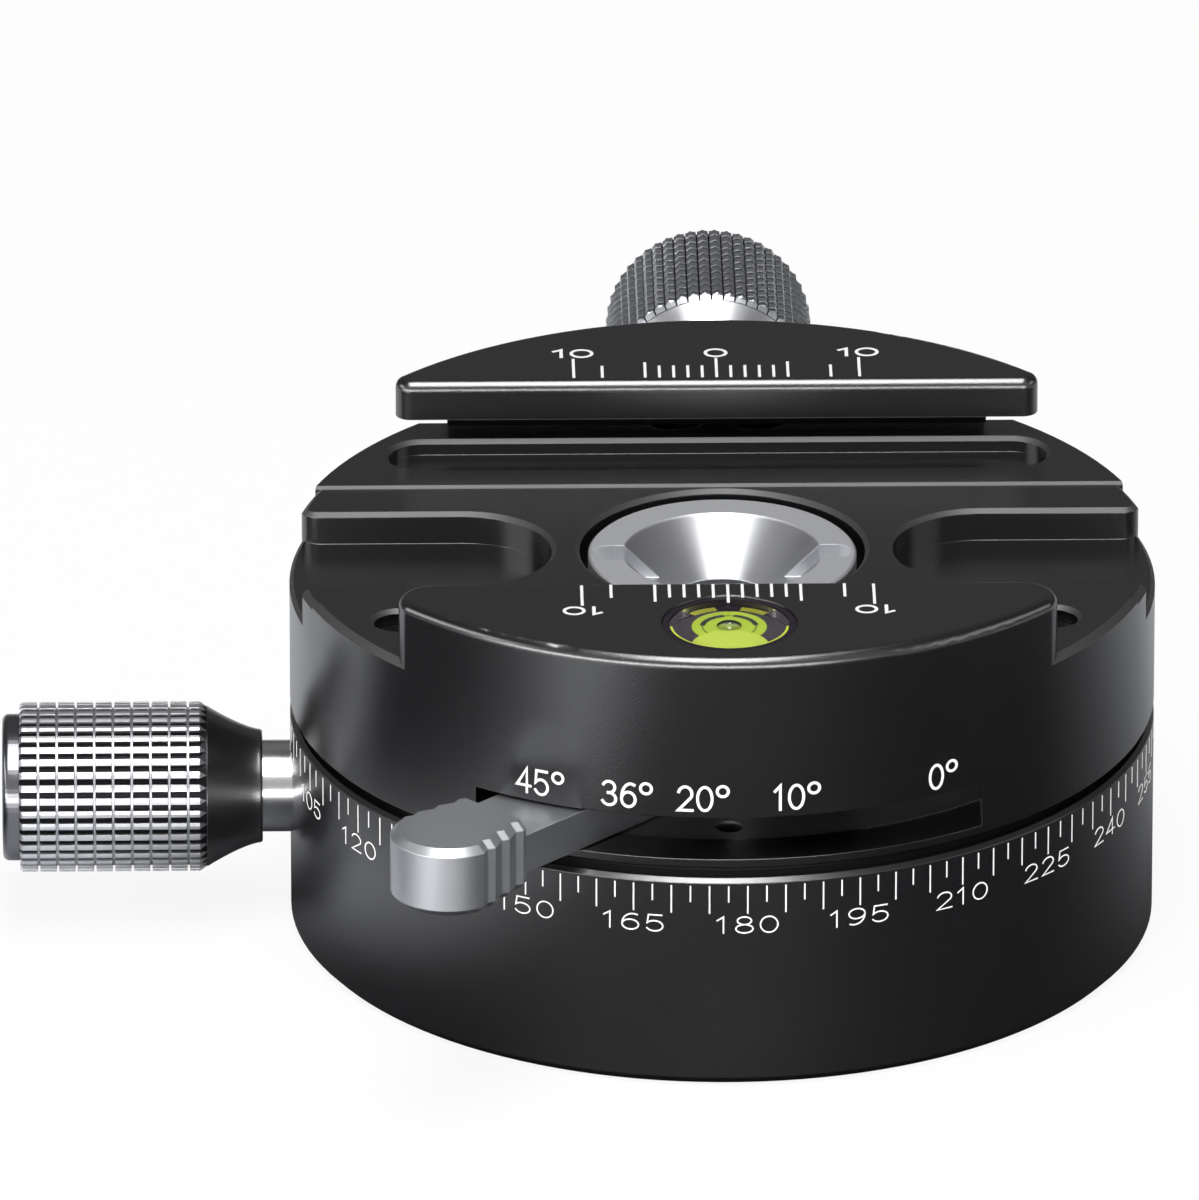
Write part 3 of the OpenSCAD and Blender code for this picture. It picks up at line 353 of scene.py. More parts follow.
# Knurled aluminium: bright teeth over channels painted dark as painted shade; the clamp knob's copy is
# painted a little greyer, as painted shade
KNURLED = knurled_metal("aluminium_knurled", "D0D1D4")
KNURLED_SHADED = knurled_metal("aluminium_knurled_shaded", "BCBEC2")
# Black oxide on the deck screws: dark and a little oily
OXIDE = plain_finish("steel_black_oxide", "0B0B0C", roughness=0.4, grain_mm=0.2, Metallic=0.0)
# Moulded acetal of the glide ring: dark and waxy
GLIDE = plain_finish("acetal_dark", "2A2725", roughness=0.55, grain_mm=0.3)
# Paint in the engraved marks: flat white
PAINT = plain_finish("paint_white", "F2F2F2", roughness=0.6, grain_mm=0.15)
# Moulded cup of the level: a purple black
LEVEL_BLACK = plain_finish("level_cup_dark", "1B1220", roughness=0.35, grain_mm=0.3)
# Spirit of the level: deep purple, lit yellow green in the middle, at the front and along the lens's edge,
# and olive in two painted patches of refracted light behind
LEVEL_DARK = level_spirit("level_spirit_deep", "1D1024")
LEVEL_GREEN = level_spirit("level_spirit_lit", "96A81C")
LEVEL_RIM_LIGHT = level_spirit("level_spirit_painted_rim", "C6D24C")
LEVEL_LIT = level_spirit("level_spirit_front", "A9B63C")
LEVEL_OLIVE = level_spirit("level_spirit_shaded", "8C8A2E")
# Ring printed in the level: black
LEVEL_RING = level_spirit("level_ring_black", "060606", grain_mm=0.2)
# Clear acrylic over the spirit: a thin gloss that hardly bends what lies below. Its IOR is lower than
# acrylic's because spirit, not air, lies under it.
LENS = plain_finish("acrylic_clear", "F8FBF4", roughness=0.02, grain_mm=0.6, Transmission_Weight=1.0,
                    IOR=1.18)
# Air in the spirit: a dark rim and a small glint
BUBBLE = plain_finish("bubble_air", "FFFFFF", roughness=0.02, grain_mm=0.6, Transmission_Weight=1.0,
                      IOR=0.85, Coat_Weight=1.0)

NODE_FINISH = {
    "base_housing": BLACK_TURNED, "tripod_insert": GROUND, "spindle_screw": SPINDLE,
    "spindle_washer": BRONZE, "index_disc": GROUND, "disc_screws": GROUND, "glide_ring": GLIDE,
    "lock_shoe": BRONZE, "lock_screw": POLISHED, "lock_collar": BLACK_TURNED, "lock_knob": KNURLED,
    "lock_cap": TURNED_DARK, "upper_body": BLACK, "rotor_plate": PLATE_PAINTED_LIGHT, "plate_screws": GROUND,
    "spindle_bush": BRONZE, "deck_screws": OXIDE, "level_cup": LEVEL_BLACK, "level_fluid": LEVEL_DARK,
    "level_bubble": BUBBLE, "level_lens": LENS, "lever_pin": GROUND, "index_lever": BLASTED,
    "detent_ball": POLISHED, "detent_spring": GROUND, "moving_jaw": BLACK, "guide_pins": POLISHED,
    "jaw_spring": GROUND, "clamp_screw": POLISHED, "clamp_washer": GROUND, "clamp_collar": TURNED,
    "clamp_knob": KNURLED_SHADED, "clamp_cap": TURNED,
}

for node_name, finish in NODE_FINISH.items():
    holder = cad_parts[node_name]
    holder.data.materials.clear()
    holder.data.materials.append(finish)


# Knurled knobs, their collar and caps

LOCK_Z, LOCK_R = axis_and_radius("lock_knob")
CLAMP_Z, CLAMP_R = axis_and_radius("clamp_knob")

# Counts of teeth and bands, the share of a tooth's pitch that is open channel, sizes in millimetres, and
# how much painted shade the ring grooves are spared, 0 being as dark as a channel. The front cone is at
# the collar.
LOCK_KNURL = {"teeth": 40, "bands": 10, "channel": 0.37, "depth": 0.36, "roof": 0.03,
              "ring_half": 0.1, "ring_depth": 0.42, "ring_unshaded": 0.75,
              "front_cone": 0.5, "front_drop": 0.36, "pointed": True}
CLAMP_KNURL = {"teeth": 52, "bands": 11, "channel": 0.03, "depth": 0.44, "roof": 0.17,
               "ring_half": 0.2, "ring_depth": 0.38, "ring_unshaded": 0.0,
               "front_cone": 0.7, "front_drop": 0.7, "pointed": False}


def knurled_piece(name, node, place, length, tip, knurl, material):
    """A knob's knurl: teeth round it, cut by ring grooves into bands. Across a tooth the radius is the
    channel's floor, climbs a wall to the tooth's shoulder and then a low roof to its middle; at each point
    it is the least of the tooth, the ring groove and the end cones. Where the teeth are pointed, they narrow
    over the cone at the collar to almost nothing. A point value for painted shade is 0 in a channel, the
    knurl's ring groove value in a ring groove and 1 elsewhere; the material darkens the low values."""
    rear_cone = 0.18
    wall = 0.06
    ring_wall = 0.3
    point_width = 0.02
    teeth = knurl["teeth"]
    depth = knurl["depth"]
    roof = knurl["roof"]
    front = knurl["front_cone"]
    ring_half = knurl["ring_half"]
    foot = 0.5 - knurl["channel"] / 2
    shoulder = foot - wall
    across = np.array([-0.5, -foot, -shoulder, 0.0, shoulder, foot])
    profile = tip - np.array([depth, depth, roof, 0.0, roof, depth])
    unshaded_across = np.array([0.0, 0.0, 1.0, 1.0, 1.0, 0.0])
    cuts = np.arange(1, knurl["bands"]) * length / knurl["bands"]
    groove = ring_half * np.array([-1.0, ring_wall - 1.0, 1.0 - ring_wall, 1.0])
    edges = (cuts[:, None] + groove).reshape(-1)
    ends = np.concatenate([np.linspace(0, front, 9), length - np.linspace(0, rear_cone, 5)])
    height = np.unique(np.round(np.concatenate([edges, ends]), 5))[:, None]
    narrowing = np.clip(height / front, point_width, 1.0) if knurl["pointed"] else np.ones_like(height)
    inner = np.where(across > -0.5, narrowing, 1.0) * across
    angle = (np.repeat(np.arange(teeth), len(across)) + 0.5 + np.tile(inner, teeth)) * 2 * np.pi / teeth
    from_cut = np.abs(height - cuts).min(axis=1, keepdims=True)
    cut_share = np.clip((ring_half - from_cut) / (ring_wall * ring_half), 0, 1)
    ring = tip - knurl["ring_depth"] * cut_share
    front_cone = tip - knurl["front_drop"] * (1 - height / front)
    cone = np.minimum(front_cone, tip - rear_cone + length - height)
    tooth = np.tile(profile, teeth)
    radius = np.minimum(tooth, np.minimum(ring, cone))
    # Painted shade: 1 keeps the metal's colour, lower values tint it dark in the channels and ring grooves
    unshaded = (1 - cut_share) * np.tile(unshaded_across, teeth) + cut_share * knurl["ring_unshaded"]
    unshaded = np.where(cone < np.minimum(tooth, ring), 1.0, unshaded)
    closed = np.vstack([0 * radius[:1], radius, 0 * radius[:1]])
    turn = np.vstack([angle[:1], angle, angle[-1:]])
    level = np.vstack([height[:1], height, height[-1:]]) + 0 * turn
    points = place(closed * np.cos(turn), closed * np.sin(turn), level)
    quads = grid_faces(*turn.shape)
    piece = make_piece(name, points, quads, node, material, [node])
    values = np.vstack([unshaded[:1], unshaded, unshaded[-1:]]).reshape(-1)
    piece.data.attributes.new("unshaded", "FLOAT", "POINT").data.foreach_set("value", values)


lock_low, lock_high = box_mm("lock_knob")
knurled_piece("lock_knob_knurl", "lock_knob", along_left(lock_high[0], LOCK_Z), lock_high[0] - lock_low[0],
              LOCK_R, LOCK_KNURL, KNURLED)
clamp_low, clamp_high = box_mm("clamp_knob")
knurled_piece("clamp_knob_knurl", "clamp_knob", along_back(clamp_low[1], CLAMP_Z),
              clamp_high[1] - clamp_low[1], CLAMP_R, CLAMP_KNURL, KNURLED_SHADED)


def turned_collar(name, node, body, small_radius):
    """The lock knob's black collar: it flares in a hollow curve from the stem's end to the knob, as a power
    of the way along it, and the edge at the stem is a small quarter round."""
    edge = 0.2
    hollow = 1.36
    low, high = box_mm(node)
    length = high[0] - low[0]
    big_radius = axis_and_radius(node)[1]
    turn = np.linspace(np.pi / 2, 0, 6)
    rounded = np.stack([small_radius - edge + edge * np.cos(turn), edge - edge * np.sin(turn)], axis=-1)
    along = np.linspace(edge, length, 24)
    share = (along - edge) / (length - edge)
    flare = np.stack([small_radius + (big_radius - small_radius) * share ** hollow, along], axis=-1)
    profile = np.vstack([[(0, 0)], rounded, flare[1:], [(0, length)]])
    points, quads = turned(profile, steps=128, place=along_left(high[0], LOCK_Z))
    make_piece(name, points, quads, body, BLACK_TURNED, [node])


turned_collar("lock_collar_turned", "lock_collar", "lock_knob", LOCK_COLLAR_SMALL_R)


def turned_cap(name, node, body, place, length, radius, material):
    """A knob's end cap: a short cylinder whose outer rim is a quarter round, with a shallow dish in its
    face."""
    rim = 0.45
    dish_deep = 0.2
    dish_mouth = 0.62 * radius
    dish_floor = 0.55 * radius
    turn = np.linspace(0, np.pi / 2, 9)
    rounded = np.stack([radius - rim + rim * np.cos(turn), length - rim + rim * np.sin(turn)], axis=-1)
    dish = [(dish_mouth, length), (dish_floor, length - dish_deep), (0, length - dish_deep)]
    profile = np.vstack([[(0, 0), (radius, 0)], rounded, dish])
    points, quads = turned(profile, steps=96, place=place)
    make_piece(name, points, quads, body, material, [node])


cap_low, cap_high = box_mm("lock_cap")
turned_cap("lock_cap_turned", "lock_cap", "lock_knob", along_left(cap_high[0], LOCK_Z),
           cap_high[0] - cap_low[0], axis_and_radius("lock_cap")[1], TURNED_DARK)
cap_low, cap_high = box_mm("clamp_cap")
turned_cap("clamp_cap_turned", "clamp_cap", "clamp_knob", along_back(cap_low[1], CLAMP_Z),
           cap_high[1] - cap_low[1], axis_and_radius("clamp_cap")[1], TURNED)


# Engraved numbers and scales, in millimetres

# How far the paint stands proud and how deep it goes
PAINT_PROUD = 0.012
PAINT_DEEP = 0.05

# Proportions of a number: the width of a 1 and how far it moves left, as shares of a digit's width, and the
# degree ring's radius as a share of the height, with its drop from the top in radii
ONE_WIDTH = 0.62
ONE_SHIFT = 0.21
DEGREE_RING = 0.22
DEGREE_DROP = 0.8


def arc(cx, cy, rx, ry, start, end, count=14):
    """Points on an ellipse between two angles in degrees."""
    t = np.radians(np.linspace(start, end, count))
    return np.stack([cx + rx * np.cos(t), cy + ry * np.sin(t)], axis=-1)


def path(*parts):
    """Single points and runs of points joined into one line."""
    return np.vstack([np.atleast_2d(np.asarray(p, float)) for p in parts])


def ring_line(cx, cy, rx, ry, count=22):
    """A closed ellipse; the first point is repeated at the end."""
    return arc(cx, cy, rx, ry, 90, 450, count)


SIX = [ring_line(0.5, 0.31, 0.48, 0.31), path(arc(0.66, 0.36, 0.64, 0.62, 68, 180), (0.02, 0.31))]

# Single-line digits in a box one wide and one high
DIGITS = {
    "0": [ring_line(0.5, 0.5, 0.5, 0.5)],
    "1": [path((0.2, 0.78), (0.55, 1.0), (0.55, 0.0))],
    "2": [path(arc(0.5, 0.7, 0.46, 0.3, 165, -32), (0.03, 0.0), (0.98, 0.0))],
    "3": [path(arc(0.47, 0.76, 0.42, 0.24, 155, -70), (0.42, 0.52)),
          path((0.42, 0.52), arc(0.47, 0.26, 0.49, 0.26, 75, -155))],
    "4": [path((0.74, 0.0), (0.74, 1.0), (0.0, 0.28), (1.0, 0.28))],
    "5": [path((0.9, 1.0), (0.14, 1.0), (0.07, 0.5), arc(0.48, 0.32, 0.49, 0.32, 128, -152))],
    "6": SIX,
    "7": [path((0.02, 1.0), (0.98, 1.0), (0.36, 0.0))],
    "8": [ring_line(0.5, 0.76, 0.4, 0.24), ring_line(0.5, 0.26, 0.49, 0.26)],
    "9": [1.0 - line for line in SIX],
}


def word_lines(word, width, height, gap):
    """Strokes of a number, centred on X with its baseline at 0. The letter d stands for the degree sign, a
    small ring."""
    ring = DEGREE_RING * height
    widths = {"1": ONE_WIDTH * width, "d": 2 * ring}
    advance = np.array([widths.get(character, width) for character in word])
    start = np.concatenate([[0], np.cumsum(advance + gap)[:-1]])
    start -= (start[-1] + advance[-1]) / 2
    lines = []
    for character, at in zip(word, start):
        if character == "d":
            lines.append(ring_line(at + ring, height - DEGREE_DROP * ring, ring, ring, count=16))
            continue
        shift = ONE_SHIFT * width if character == "1" else 0.0
        lines += [line * [width, height] + [at - shift, 0] for line in DIGITS[character]]
    return lines


def stroke_block(line, width):
    """A shallow bar along a line: four edges, left and right of the line, above and below the surface.
    Where the line bends the edges are mitred, and the ends are run on by half the width."""
    sharpest_mitre = 0.4
    step = np.diff(line, axis=0)
    step /= np.linalg.norm(step, axis=1, keepdims=True)
    side = np.stack([-step[:, 1], step[:, 0]], axis=-1)
    closed = np.allclose(line[0], line[-1])
    first = side[-1:] if closed else side[:1]
    last = side[:1] if closed else side[-1:]
    before = np.vstack([first, side])
    after = np.vstack([side, last])
    middle = before + after
    middle /= np.linalg.norm(middle, axis=1, keepdims=True)
    middle /= np.maximum(np.sum(middle * after, axis=1, keepdims=True), sharpest_mitre)
    ends = np.zeros_like(line)
    if not closed:
        ends[0] = -step[0]
        ends[-1] = step[-1]
    left = line + (middle + ends) * width / 2
    right = line + (ends - middle) * width / 2
    high = np.full((len(line), 1), PAINT_PROUD)
    low = np.full((len(line), 1), -PAINT_DEEP)
    block = np.stack([np.hstack([left, high]), np.hstack([right, high]), np.hstack([right, low]),
                      np.hstack([left, low])], axis=1)
    faces = grid_faces(len(line), 4) if closed else bar_faces(len(line))
    return block.reshape(-1, 3), faces


def engraved(name, marks, body, material=PAINT):
    """One mesh of painted lines. Each mark is (lines, stroke width, place), where place maps across, up and
    out of the surface to X, Y and Z."""
    points = []
    quads = []
    count = 0
    for lines, width, place in marks:
        for line in lines:
            block, faces = stroke_block(line, width)
            points.append(place(*block.T))
            quads.append(faces + count)
            count += len(block)
    make_piece(name, np.vstack(points), np.vstack(quads), body, material)


def on_wall(radius, degrees, z):
    """Wraps marks round the wall of a cylinder; degrees are counted from the front towards +X."""
    def place(across, up, out):
        turn = math.radians(degrees) + across / radius
        return np.stack([(radius + out) * np.sin(turn), -(radius + out) * np.cos(turn), z + up], axis=-1)
    return place


def on_fixed_jaw(x, top):
    """Lays marks on the fixed jaw, up running towards the front, over the rounded inner edge where up is
    negative; the marks are read from behind."""
    tangent = FIXED_NOSE_Y - JAW_FILLET

    def place(across, up, out):
        bend = np.clip(-up, 0, None) / JAW_FILLET
        y = tangent - np.clip(up, 0, None) + (JAW_FILLET + out) * np.sin(bend)
        z = top - JAW_FILLET + (JAW_FILLET + out) * np.cos(bend)
        return np.stack([x - across, y, z], axis=-1)
    return place


def on_moving_jaw(x, edge, top):
    """Lays marks on the moving jaw, up running away from its inner edge."""
    return lambda across, up, out: np.stack([x + across, edge + up, top + out], axis=-1)


def upright_line(low, high):
    """One straight tick, in steps short enough to follow a rounded edge."""
    count = 12
    return [np.stack([np.zeros(count), np.linspace(low, high, count)], axis=-1)]


# Degree scale of the base: a tick every 2.5 degrees, every other one long, and a number every 15
BODY_R = box_mm("base_housing")[1][0]
SCALE_TOP = 14.95
SCALE_BASELINE = 11.5
SCALE_ZERO_TURN = 180 - 2.23
SCALE_STEP = 2.5
SCALE_NUMBER_STEP = 15
SCALE_LONG = 1.95
SCALE_SHORT = 1.1
SCALE_DIGIT = 1.2
SCALE_DIGIT_GAP = 0.5
SCALE_STROKE = 0.1
base_marks = []
for index in range(round(360 / SCALE_STEP)):
    tick = upright_line(-SCALE_LONG if index % 2 == 0 else -SCALE_SHORT, 0.0)
    turn = SCALE_STEP * index - SCALE_ZERO_TURN
    base_marks.append((tick, SCALE_STROKE, on_wall(BODY_R, turn, SCALE_TOP)))
for degrees in range(0, 360, SCALE_NUMBER_STEP):
    number = word_lines(str(degrees), SCALE_DIGIT, SCALE_DIGIT, SCALE_DIGIT_GAP)
    base_marks.append((number, SCALE_STROKE, on_wall(BODY_R, degrees - SCALE_ZERO_TURN, SCALE_BASELINE)))
engraved("degree_scale", base_marks, "base")

# Index angles over the lever's slot, each with its place across the front
INDEX_MARKS = [("45d", -13.0), ("36d", -7.1), ("20d", -1.9), ("10d", 4.55), ("0d", 14.6)]
INDEX_BASELINE = 20.65
INDEX_WIDTH = 1.0
INDEX_HEIGHT = 1.75
INDEX_GAP = 0.34
INDEX_STROKE = 0.2
index_numbers = []
for word, x in INDEX_MARKS:
    number = word_lines(word, INDEX_WIDTH, INDEX_HEIGHT, INDEX_GAP)
    turn = math.degrees(math.asin(x / BODY_R))
    index_numbers.append((number, INDEX_STROKE, on_wall(BODY_R, turn, INDEX_BASELINE)))
engraved("index_numbers", index_numbers, "rotor")

# Millimetre scales of the jaws: which ticks they have, and the lengths of those that are longer than the
# rest
JAW_TICKS = [0, 1, 2, 3, 4, 5, 8, 10]
TICK_LENGTH = 2.0
FRONT_LENGTHS = {0: 2.85, 5: 2.7, 10: 3.3}
REAR_LENGTHS = {0: 3.3, 5: 2.6, 10: 3.3}
FRONT_START = -0.35
REAR_START = 0.1
TICK_STROKE = 0.2
JAW_BASELINE = 3.7
JAW_STROKE = 0.24
JAW_DIGIT_GAP = 0.3
FRONT_DIGIT = (1.35, 1.2)
REAR_DIGIT = (1.45, 1.3)
jaw_top = box_mm("upper_body")[1][2]
rear_edge = box_mm("moving_jaw")[0][1] + JAW_FILLET
front_marks = []
rear_marks = []
for tick in JAW_TICKS:
    front_tick = upright_line(FRONT_START, FRONT_LENGTHS.get(tick, TICK_LENGTH))
    rear_tick = upright_line(REAR_START, REAR_LENGTHS.get(tick, TICK_LENGTH))
    for x in sorted({-tick, tick}):
        front_marks.append((front_tick, TICK_STROKE, on_fixed_jaw(x, jaw_top)))
        rear_marks.append((rear_tick, TICK_STROKE, on_moving_jaw(x, rear_edge, jaw_top)))
for x in (-10, 10):
    number = [line + [0, JAW_BASELINE] for line in word_lines("10", *FRONT_DIGIT, JAW_DIGIT_GAP)]
    front_marks.append((number, JAW_STROKE, on_fixed_jaw(x, jaw_top)))
for x in (-10, 0, 10):
    number = word_lines(str(abs(x)), *REAR_DIGIT, JAW_DIGIT_GAP)
    rear_marks.append((number, JAW_STROKE, on_moving_jaw(x, rear_edge + JAW_BASELINE, jaw_top)))
engraved("fixed_jaw_scale", front_marks, "rotor")
engraved("moving_jaw_scale", rear_marks, "jaw")


# Bullseye level: what shows through the lens, in millimetres

LEVEL_Y = (box_mm("level_lens")[0][1] + box_mm("level_lens")[1][1]) / 2
LEVEL_TOP = box_mm("level_fluid")[1][2]
LEVEL_R = box_mm("level_fluid")[1][0]
LENS_R = box_mm("level_lens")[1][0]
LENS_RISE = box_mm("level_lens")[1][2] - LEVEL_TOP

# The lit disc, its printed ring and the bubble lie a little behind the level's middle
SPIRIT_BACK = 0.6
SPIRIT_R = 2.57
SPIRIT_LIFT = 0.005
SPIRIT_SUNK = 0.04

# The lit front is part of a disc that lies forward of the level's middle
FRONT_R = 2.67
FRONT_FORWARD = 2.7
FRONT_LIFT = 0.03

# The printed ring is fine all round, with two heavy arcs in its back half
RING_R = 1.84
RING_STROKE = 0.07
RING_LIFT = 0.006
RING_HEAVY_STROKE = 0.36
RING_HEAVY_LIFT = 0.008
RING_HEAVY_TURN = 62
RING_HEAVY_STARTS = (12, 106)

# Two olive patches of painted refracted light behind the disc, and a painted bright line of refracted
# light round the front of the lens
REFRACTION_PATCH_R = 3.7
REFRACTION_PATCH_STROKE = 0.6
REFRACTION_PATCH_TURN = 20
REFRACTION_PATCH_STARTS = (52, 108)
RIM_INSET = 0.12
RIM_STROKE = 0.16
RIM_START = 184
RIM_END = 356

BUBBLE_R = 0.85
BUBBLE_FLOOR = 0.1
BUBBLE_HEIGHT = 0.4


def level_disc(name, radius, back, lift, material):
    """A thin flat disc under the lens, set back from the level's middle."""
    profile = [(0, -SPIRIT_SUNK), (radius, -SPIRIT_SUNK), (radius, lift), (0, lift)]
    points, quads = turned(profile, steps=72, place=upright(0, LEVEL_Y + back, LEVEL_TOP))
    make_piece(name, points, quads, "rotor", material)


def level_front(name, radius, forward, lift, material):
    """The lit front of the spirit: what a disc, forward of the level's middle, has inside the spirit's rim.
    Its back edge is the disc's arc and its front edge is the rim's, between the two points where they
    meet."""
    meet = (radius ** 2 - LEVEL_R ** 2 - forward ** 2) / (2 * forward)
    across = np.linspace(-1, 1, 48) * math.sqrt(LEVEL_R ** 2 - meet ** 2)
    back = LEVEL_Y - forward + np.sqrt(radius ** 2 - across ** 2)
    front = LEVEL_Y - np.sqrt(LEVEL_R ** 2 - across ** 2)
    along = np.stack([back, front, front, back], axis=1)
    height = LEVEL_TOP + np.tile([lift, lift, -SPIRIT_SUNK, -SPIRIT_SUNK], (len(across), 1))
    points = np.stack([np.repeat(across[:, None], 4, axis=1), along, height], axis=-1)
    make_piece(name, points, bar_faces(len(across)), "rotor", material)


def on_level(lift):
    """Lays marks flat, lift above the spirit's top and about the level's middle."""
    return lambda across, up, out: np.stack([across, LEVEL_Y + up, LEVEL_TOP + lift + out], axis=-1)


level_disc("level_spirit_disc", SPIRIT_R, SPIRIT_BACK, SPIRIT_LIFT, LEVEL_GREEN)
level_front("level_spirit_front", FRONT_R, FRONT_FORWARD, FRONT_LIFT, LEVEL_LIT)
fine_ring = [ring_line(0, SPIRIT_BACK, RING_R, RING_R, count=64)]
heavy_arcs = [arc(0, SPIRIT_BACK, RING_R, RING_R, start, start + RING_HEAVY_TURN, count=20)
              for start in RING_HEAVY_STARTS]
ring_marks = [(fine_ring, RING_STROKE, on_level(RING_LIFT)),
              (heavy_arcs, RING_HEAVY_STROKE, on_level(RING_HEAVY_LIFT))]
engraved("level_ring", ring_marks, "rotor", LEVEL_RING)
# Painted light: the two olive patches stand in for light refracted through the lens behind the disc
refraction_patches = [arc(0, 0, REFRACTION_PATCH_R, REFRACTION_PATCH_R, start, start + REFRACTION_PATCH_TURN, count=12) for start in REFRACTION_PATCH_STARTS]
engraved("level_painted_refractions", [(refraction_patches, REFRACTION_PATCH_STROKE, on_level(0.0))], "rotor", LEVEL_OLIVE)
# Painted light: a pale yellow green line stands in for light refracted along the front of the lens's edge
rim_line = [arc(0, 0, LENS_R - RIM_INSET, LENS_R - RIM_INSET, RIM_START, RIM_END, count=60)]
engraved("level_edge_painted_light", [(rim_line, RIM_STROKE, on_level(LENS_RISE))], "rotor", LEVEL_RIM_LIGHT)


def bubble_dome(name, node):
    """The bubble as it presses on the lens: a quarter ellipse turned about an upright axis."""
    turn = np.linspace(0, np.pi / 2, 10)
    dome = np.stack([BUBBLE_R * np.cos(turn), BUBBLE_FLOOR + BUBBLE_HEIGHT * np.sin(turn)], axis=-1)
    profile = np.vstack([[(0, BUBBLE_FLOOR)], dome])
    points, quads = turned(profile, steps=48, place=upright(0, LEVEL_Y + SPIRIT_BACK, LEVEL_TOP))
    make_piece(name, points, quads, "rotor", BUBBLE, [node], smooth=True)


bubble_dome("level_bubble_dome", "level_bubble")


# Studio

# Dark flags laid on the floor in front of the object, as limits in millimetres and how far their edges
# fade: the object reflects them, and between them a gap of white floor gives the front wall its sheen
RIGHT_FLAG = {"X": (-49, 150, 20), "Y": (-260, 75, 100)}
LEFT_FLAG = {"X": (-260, -46, 20), "Y": (-90, 14, 20)}
FLAG_COLOUR = "303032"
REFLECTED_FLOOR = "E4E6EA"
LIT_FLOOR = "F0F0F0"

# Half the floor's width in metres, and the share of plain white in what the camera sees of it
FLOOR_HALF = 3.0
FLOOR_WHITE = 0.9


def flag_shade(tree, where, flag):
    """How far a place on the floor lies on a flag: 1 on it, falling to 0 over its faded edges."""
    shade = None
    for axis, (low, high, fade) in flag.items():
        for edge, inner in ((low, low + fade), (high, high - fade)):
            rise = add_node(tree, "ShaderNodeMapRange", {"Value": where.outputs[axis]},
                            interpolation_type="SMOOTHSTEP", From_Min=edge * MM, From_Max=inner * MM)
            if shade is None:
                shade = rise.outputs["Result"]
            else:
                shade = add_node(tree, "ShaderNodeMath", {0: shade, 1: rise.outputs["Result"]},
                                 operation="MULTIPLY").outputs["Value"]
    return shade


def stage_floor():
    """A wide pale floor, seen white by the camera but keeping part of the object's shadow. Metal reflects it
    with the dark flags on it."""
    half = FLOOR_HALF
    points = [[-half, -half, 0], [half, -half, 0], [half, half, 0], [-half, half, 0]]
    mesh = bpy.data.meshes.new("floor")
    mesh.from_pydata(points, [], [[0, 1, 2, 3]])
    floor = bpy.data.objects.new("floor", mesh)
    bpy.context.scene.collection.objects.link(floor)
    material, tree, output, place = new_material("floor_paper")
    ray = add_node(tree, "ShaderNodeLightPath")
    where = add_node(tree, "ShaderNodeSeparateXYZ", {"Vector": place})
    shade = add_node(tree, "ShaderNodeMath",
                     {0: flag_shade(tree, where, RIGHT_FLAG), 1: flag_shade(tree, where, LEFT_FLAG)},
                     operation="MAXIMUM")
    flagged = add_node(tree, "ShaderNodeMix", {"Factor": shade.outputs["Value"]}, data_type="RGBA")
    flagged.inputs[MIX_A].default_value = linear(REFLECTED_FLOOR)
    flagged.inputs[MIX_B].default_value = linear(FLAG_COLOUR)
    colour = add_node(tree, "ShaderNodeMix",
                      {"Factor": ray.outputs["Is Glossy Ray"], MIX_B: flagged.outputs[MIX_RESULT]},
                      data_type="RGBA")
    colour.inputs[MIX_A].default_value = linear(LIT_FLOOR)
    paper = add_node(tree, "ShaderNodeBsdfDiffuse", {"Color": colour.outputs[MIX_RESULT]})
    white = add_node(tree, "ShaderNodeEmission", Strength=1.0)
    share = add_node(tree, "ShaderNodeMath", {0: ray.outputs["Is Camera Ray"]}, operation="MULTIPLY")
    share.inputs[1].default_value = FLOOR_WHITE
    seen = add_node(tree, "ShaderNodeMixShader", {0: share.outputs["Value"], 1: paper.outputs["BSDF"],
                                                  2: white.outputs["Emission"]})
    tree.links.new(seen.outputs["Shader"], output.inputs["Surface"])
    mesh.materials.append(material)


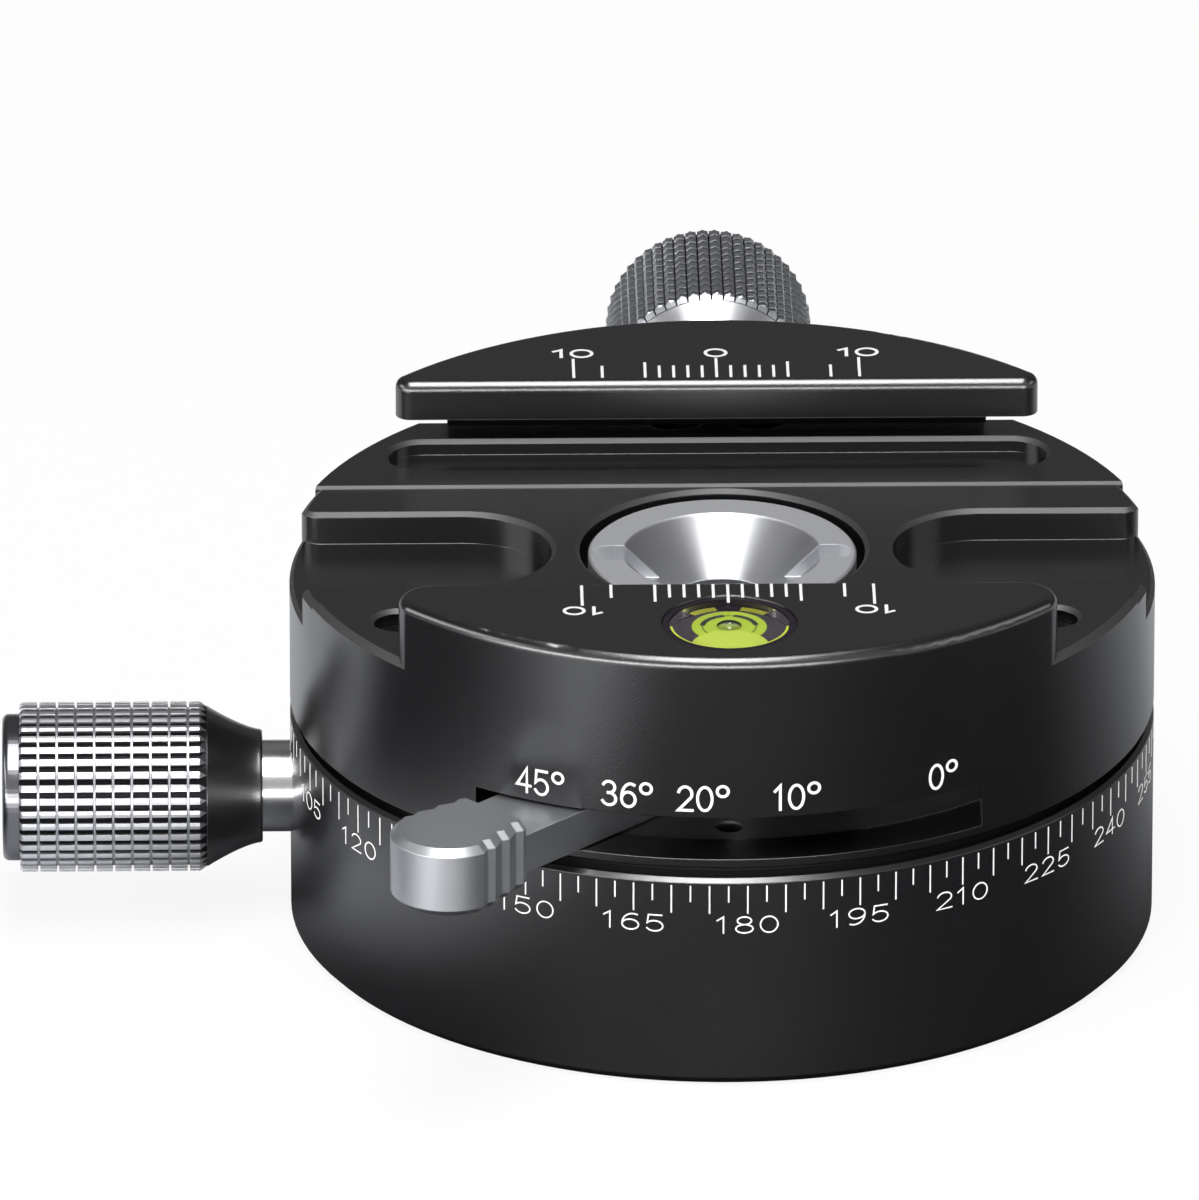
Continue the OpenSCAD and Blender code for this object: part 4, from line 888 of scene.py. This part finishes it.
def studio_world():
    """White where the camera looks. In reflections it is a grey backdrop behind and in front of the object,
    darker towards the horizon, the sides and overhead. Elsewhere it is a faint even light."""
    ambient = 0.12
    world = bpy.data.worlds.new("studio")
    bpy.context.scene.world = world
    world.use_nodes = True
    tree = world.node_tree
    tree.nodes.clear()
    output = add_node(tree, "ShaderNodeOutputWorld")
    ray = add_node(tree, "ShaderNodeLightPath")
    direction = add_node(tree, "ShaderNodeTexCoord").outputs["Generated"]
    way = add_node(tree, "ShaderNodeSeparateXYZ", {"Vector": direction})
    behind = add_node(tree, "ShaderNodeMapRange", {"Value": way.outputs["Y"]},
                      interpolation_type="SMOOTHSTEP",
                      From_Min=0.1, From_Max=0.9, To_Min=0.05, To_Max=0.145)
    ahead = add_node(tree, "ShaderNodeMapRange", {"Value": way.outputs["Y"]},
                     interpolation_type="SMOOTHSTEP",
                     From_Min=-0.2, From_Max=-0.8, To_Min=0.06, To_Max=0.45)
    around = add_node(tree, "ShaderNodeMath", {0: behind.outputs["Result"], 1: ahead.outputs["Result"]},
                      operation="MAXIMUM")
    rise = add_node(tree, "ShaderNodeMapRange", {"Value": way.outputs["Z"]},
                    From_Max=0.8, To_Min=0.6, To_Max=1.4)
    backdrop = add_node(tree, "ShaderNodeMath", {0: around.outputs["Value"], 1: rise.outputs["Result"]},
                        operation="MULTIPLY")
    seen = add_node(tree, "ShaderNodeMath",
                    {0: ray.outputs["Is Camera Ray"], 1: ray.outputs["Is Transmission Ray"]},
                    operation="MAXIMUM")
    soft = add_node(tree, "ShaderNodeMix",
                    {"Factor": ray.outputs["Is Glossy Ray"], "B": backdrop.outputs["Value"]},
                    data_type="FLOAT", A=ambient)
    strength = add_node(tree, "ShaderNodeMix",
                        {"Factor": seen.outputs["Value"], "A": soft.outputs["Result"]},
                        data_type="FLOAT", B=1.0)
    light = add_node(tree, "ShaderNodeBackground", {"Strength": strength.outputs["Result"]})
    light.inputs["Color"].default_value = (1, 1, 1, 1)
    tree.links.new(light.outputs["Background"], output.inputs["Surface"])


def softbox(name, place, width, height, watts):
    """A rectangular lamp at place, facing the object's middle, in metres."""
    object_middle = Vector((0.0, 0.0, 0.02))
    lamp = bpy.data.lights.new(name, "AREA")
    lamp.shape = "RECTANGLE"
    lamp.size = width
    lamp.size_y = height
    lamp.energy = watts
    holder = bpy.data.objects.new(name, lamp)
    holder.location = place
    holder.rotation_mode = "QUATERNION"
    holder.rotation_quaternion = (object_middle - Vector(place)).to_track_quat("-Z", "Y")
    bpy.context.scene.collection.objects.link(holder)


def photo_camera():
    """The camera that a pinhole fit of the photograph gives: its distance, direction and long lens. The
    target is a point on the object's axis, and target_pixel is where the photograph has it."""
    target = Vector((0.0, 0.0, 0.015))
    distance = 1.624
    elevation = math.radians(23.83)
    azimuth = math.radians(-1.22)
    pixels_per_mm = 14.393
    photo_size = (1199, 1200)
    target_pixel = (722.1, 708.7)
    back = Vector((math.sin(azimuth) * math.cos(elevation), -math.cos(azimuth) * math.cos(elevation),
                   math.sin(elevation)))
    right = Vector((math.cos(azimuth), math.sin(azimuth), 0.0))
    up = back.cross(right)
    centre = target + (right * (photo_size[0] / 2 - target_pixel[0])
                       - up * (photo_size[1] / 2 - target_pixel[1])) * MM / pixels_per_mm
    camera = bpy.data.cameras.new("photo_camera")
    camera.sensor_width = 36.0
    camera.lens = pixels_per_mm * distance / MM * camera.sensor_width / photo_size[1]
    camera.clip_start = 0.01
    camera.clip_end = 20.0
    holder = bpy.data.objects.new("photo_camera", camera)
    holder.location = target + back * distance
    holder.rotation_mode = "QUATERNION"
    holder.rotation_quaternion = (centre - holder.location).to_track_quat("-Z", "Y")
    bpy.context.scene.collection.objects.link(holder)
    bpy.context.scene.camera = holder


stage_floor()
studio_world()
softbox("overhead", (-0.03, -0.26, 0.83), width=0.34, height=0.66, watts=7.2)
softbox("left_wing", (-0.75, -0.15, 0.33), width=0.6, height=0.25, watts=1.6)
softbox("right_wing", (0.75, -0.15, 0.33), width=0.6, height=0.25, watts=0.7)
softbox("low_front", (-0.25, -0.8, 0.075), width=1.6, height=0.13, watts=7.6)
photo_camera()
bpy.context.scene.view_settings.view_transform = "Standard"
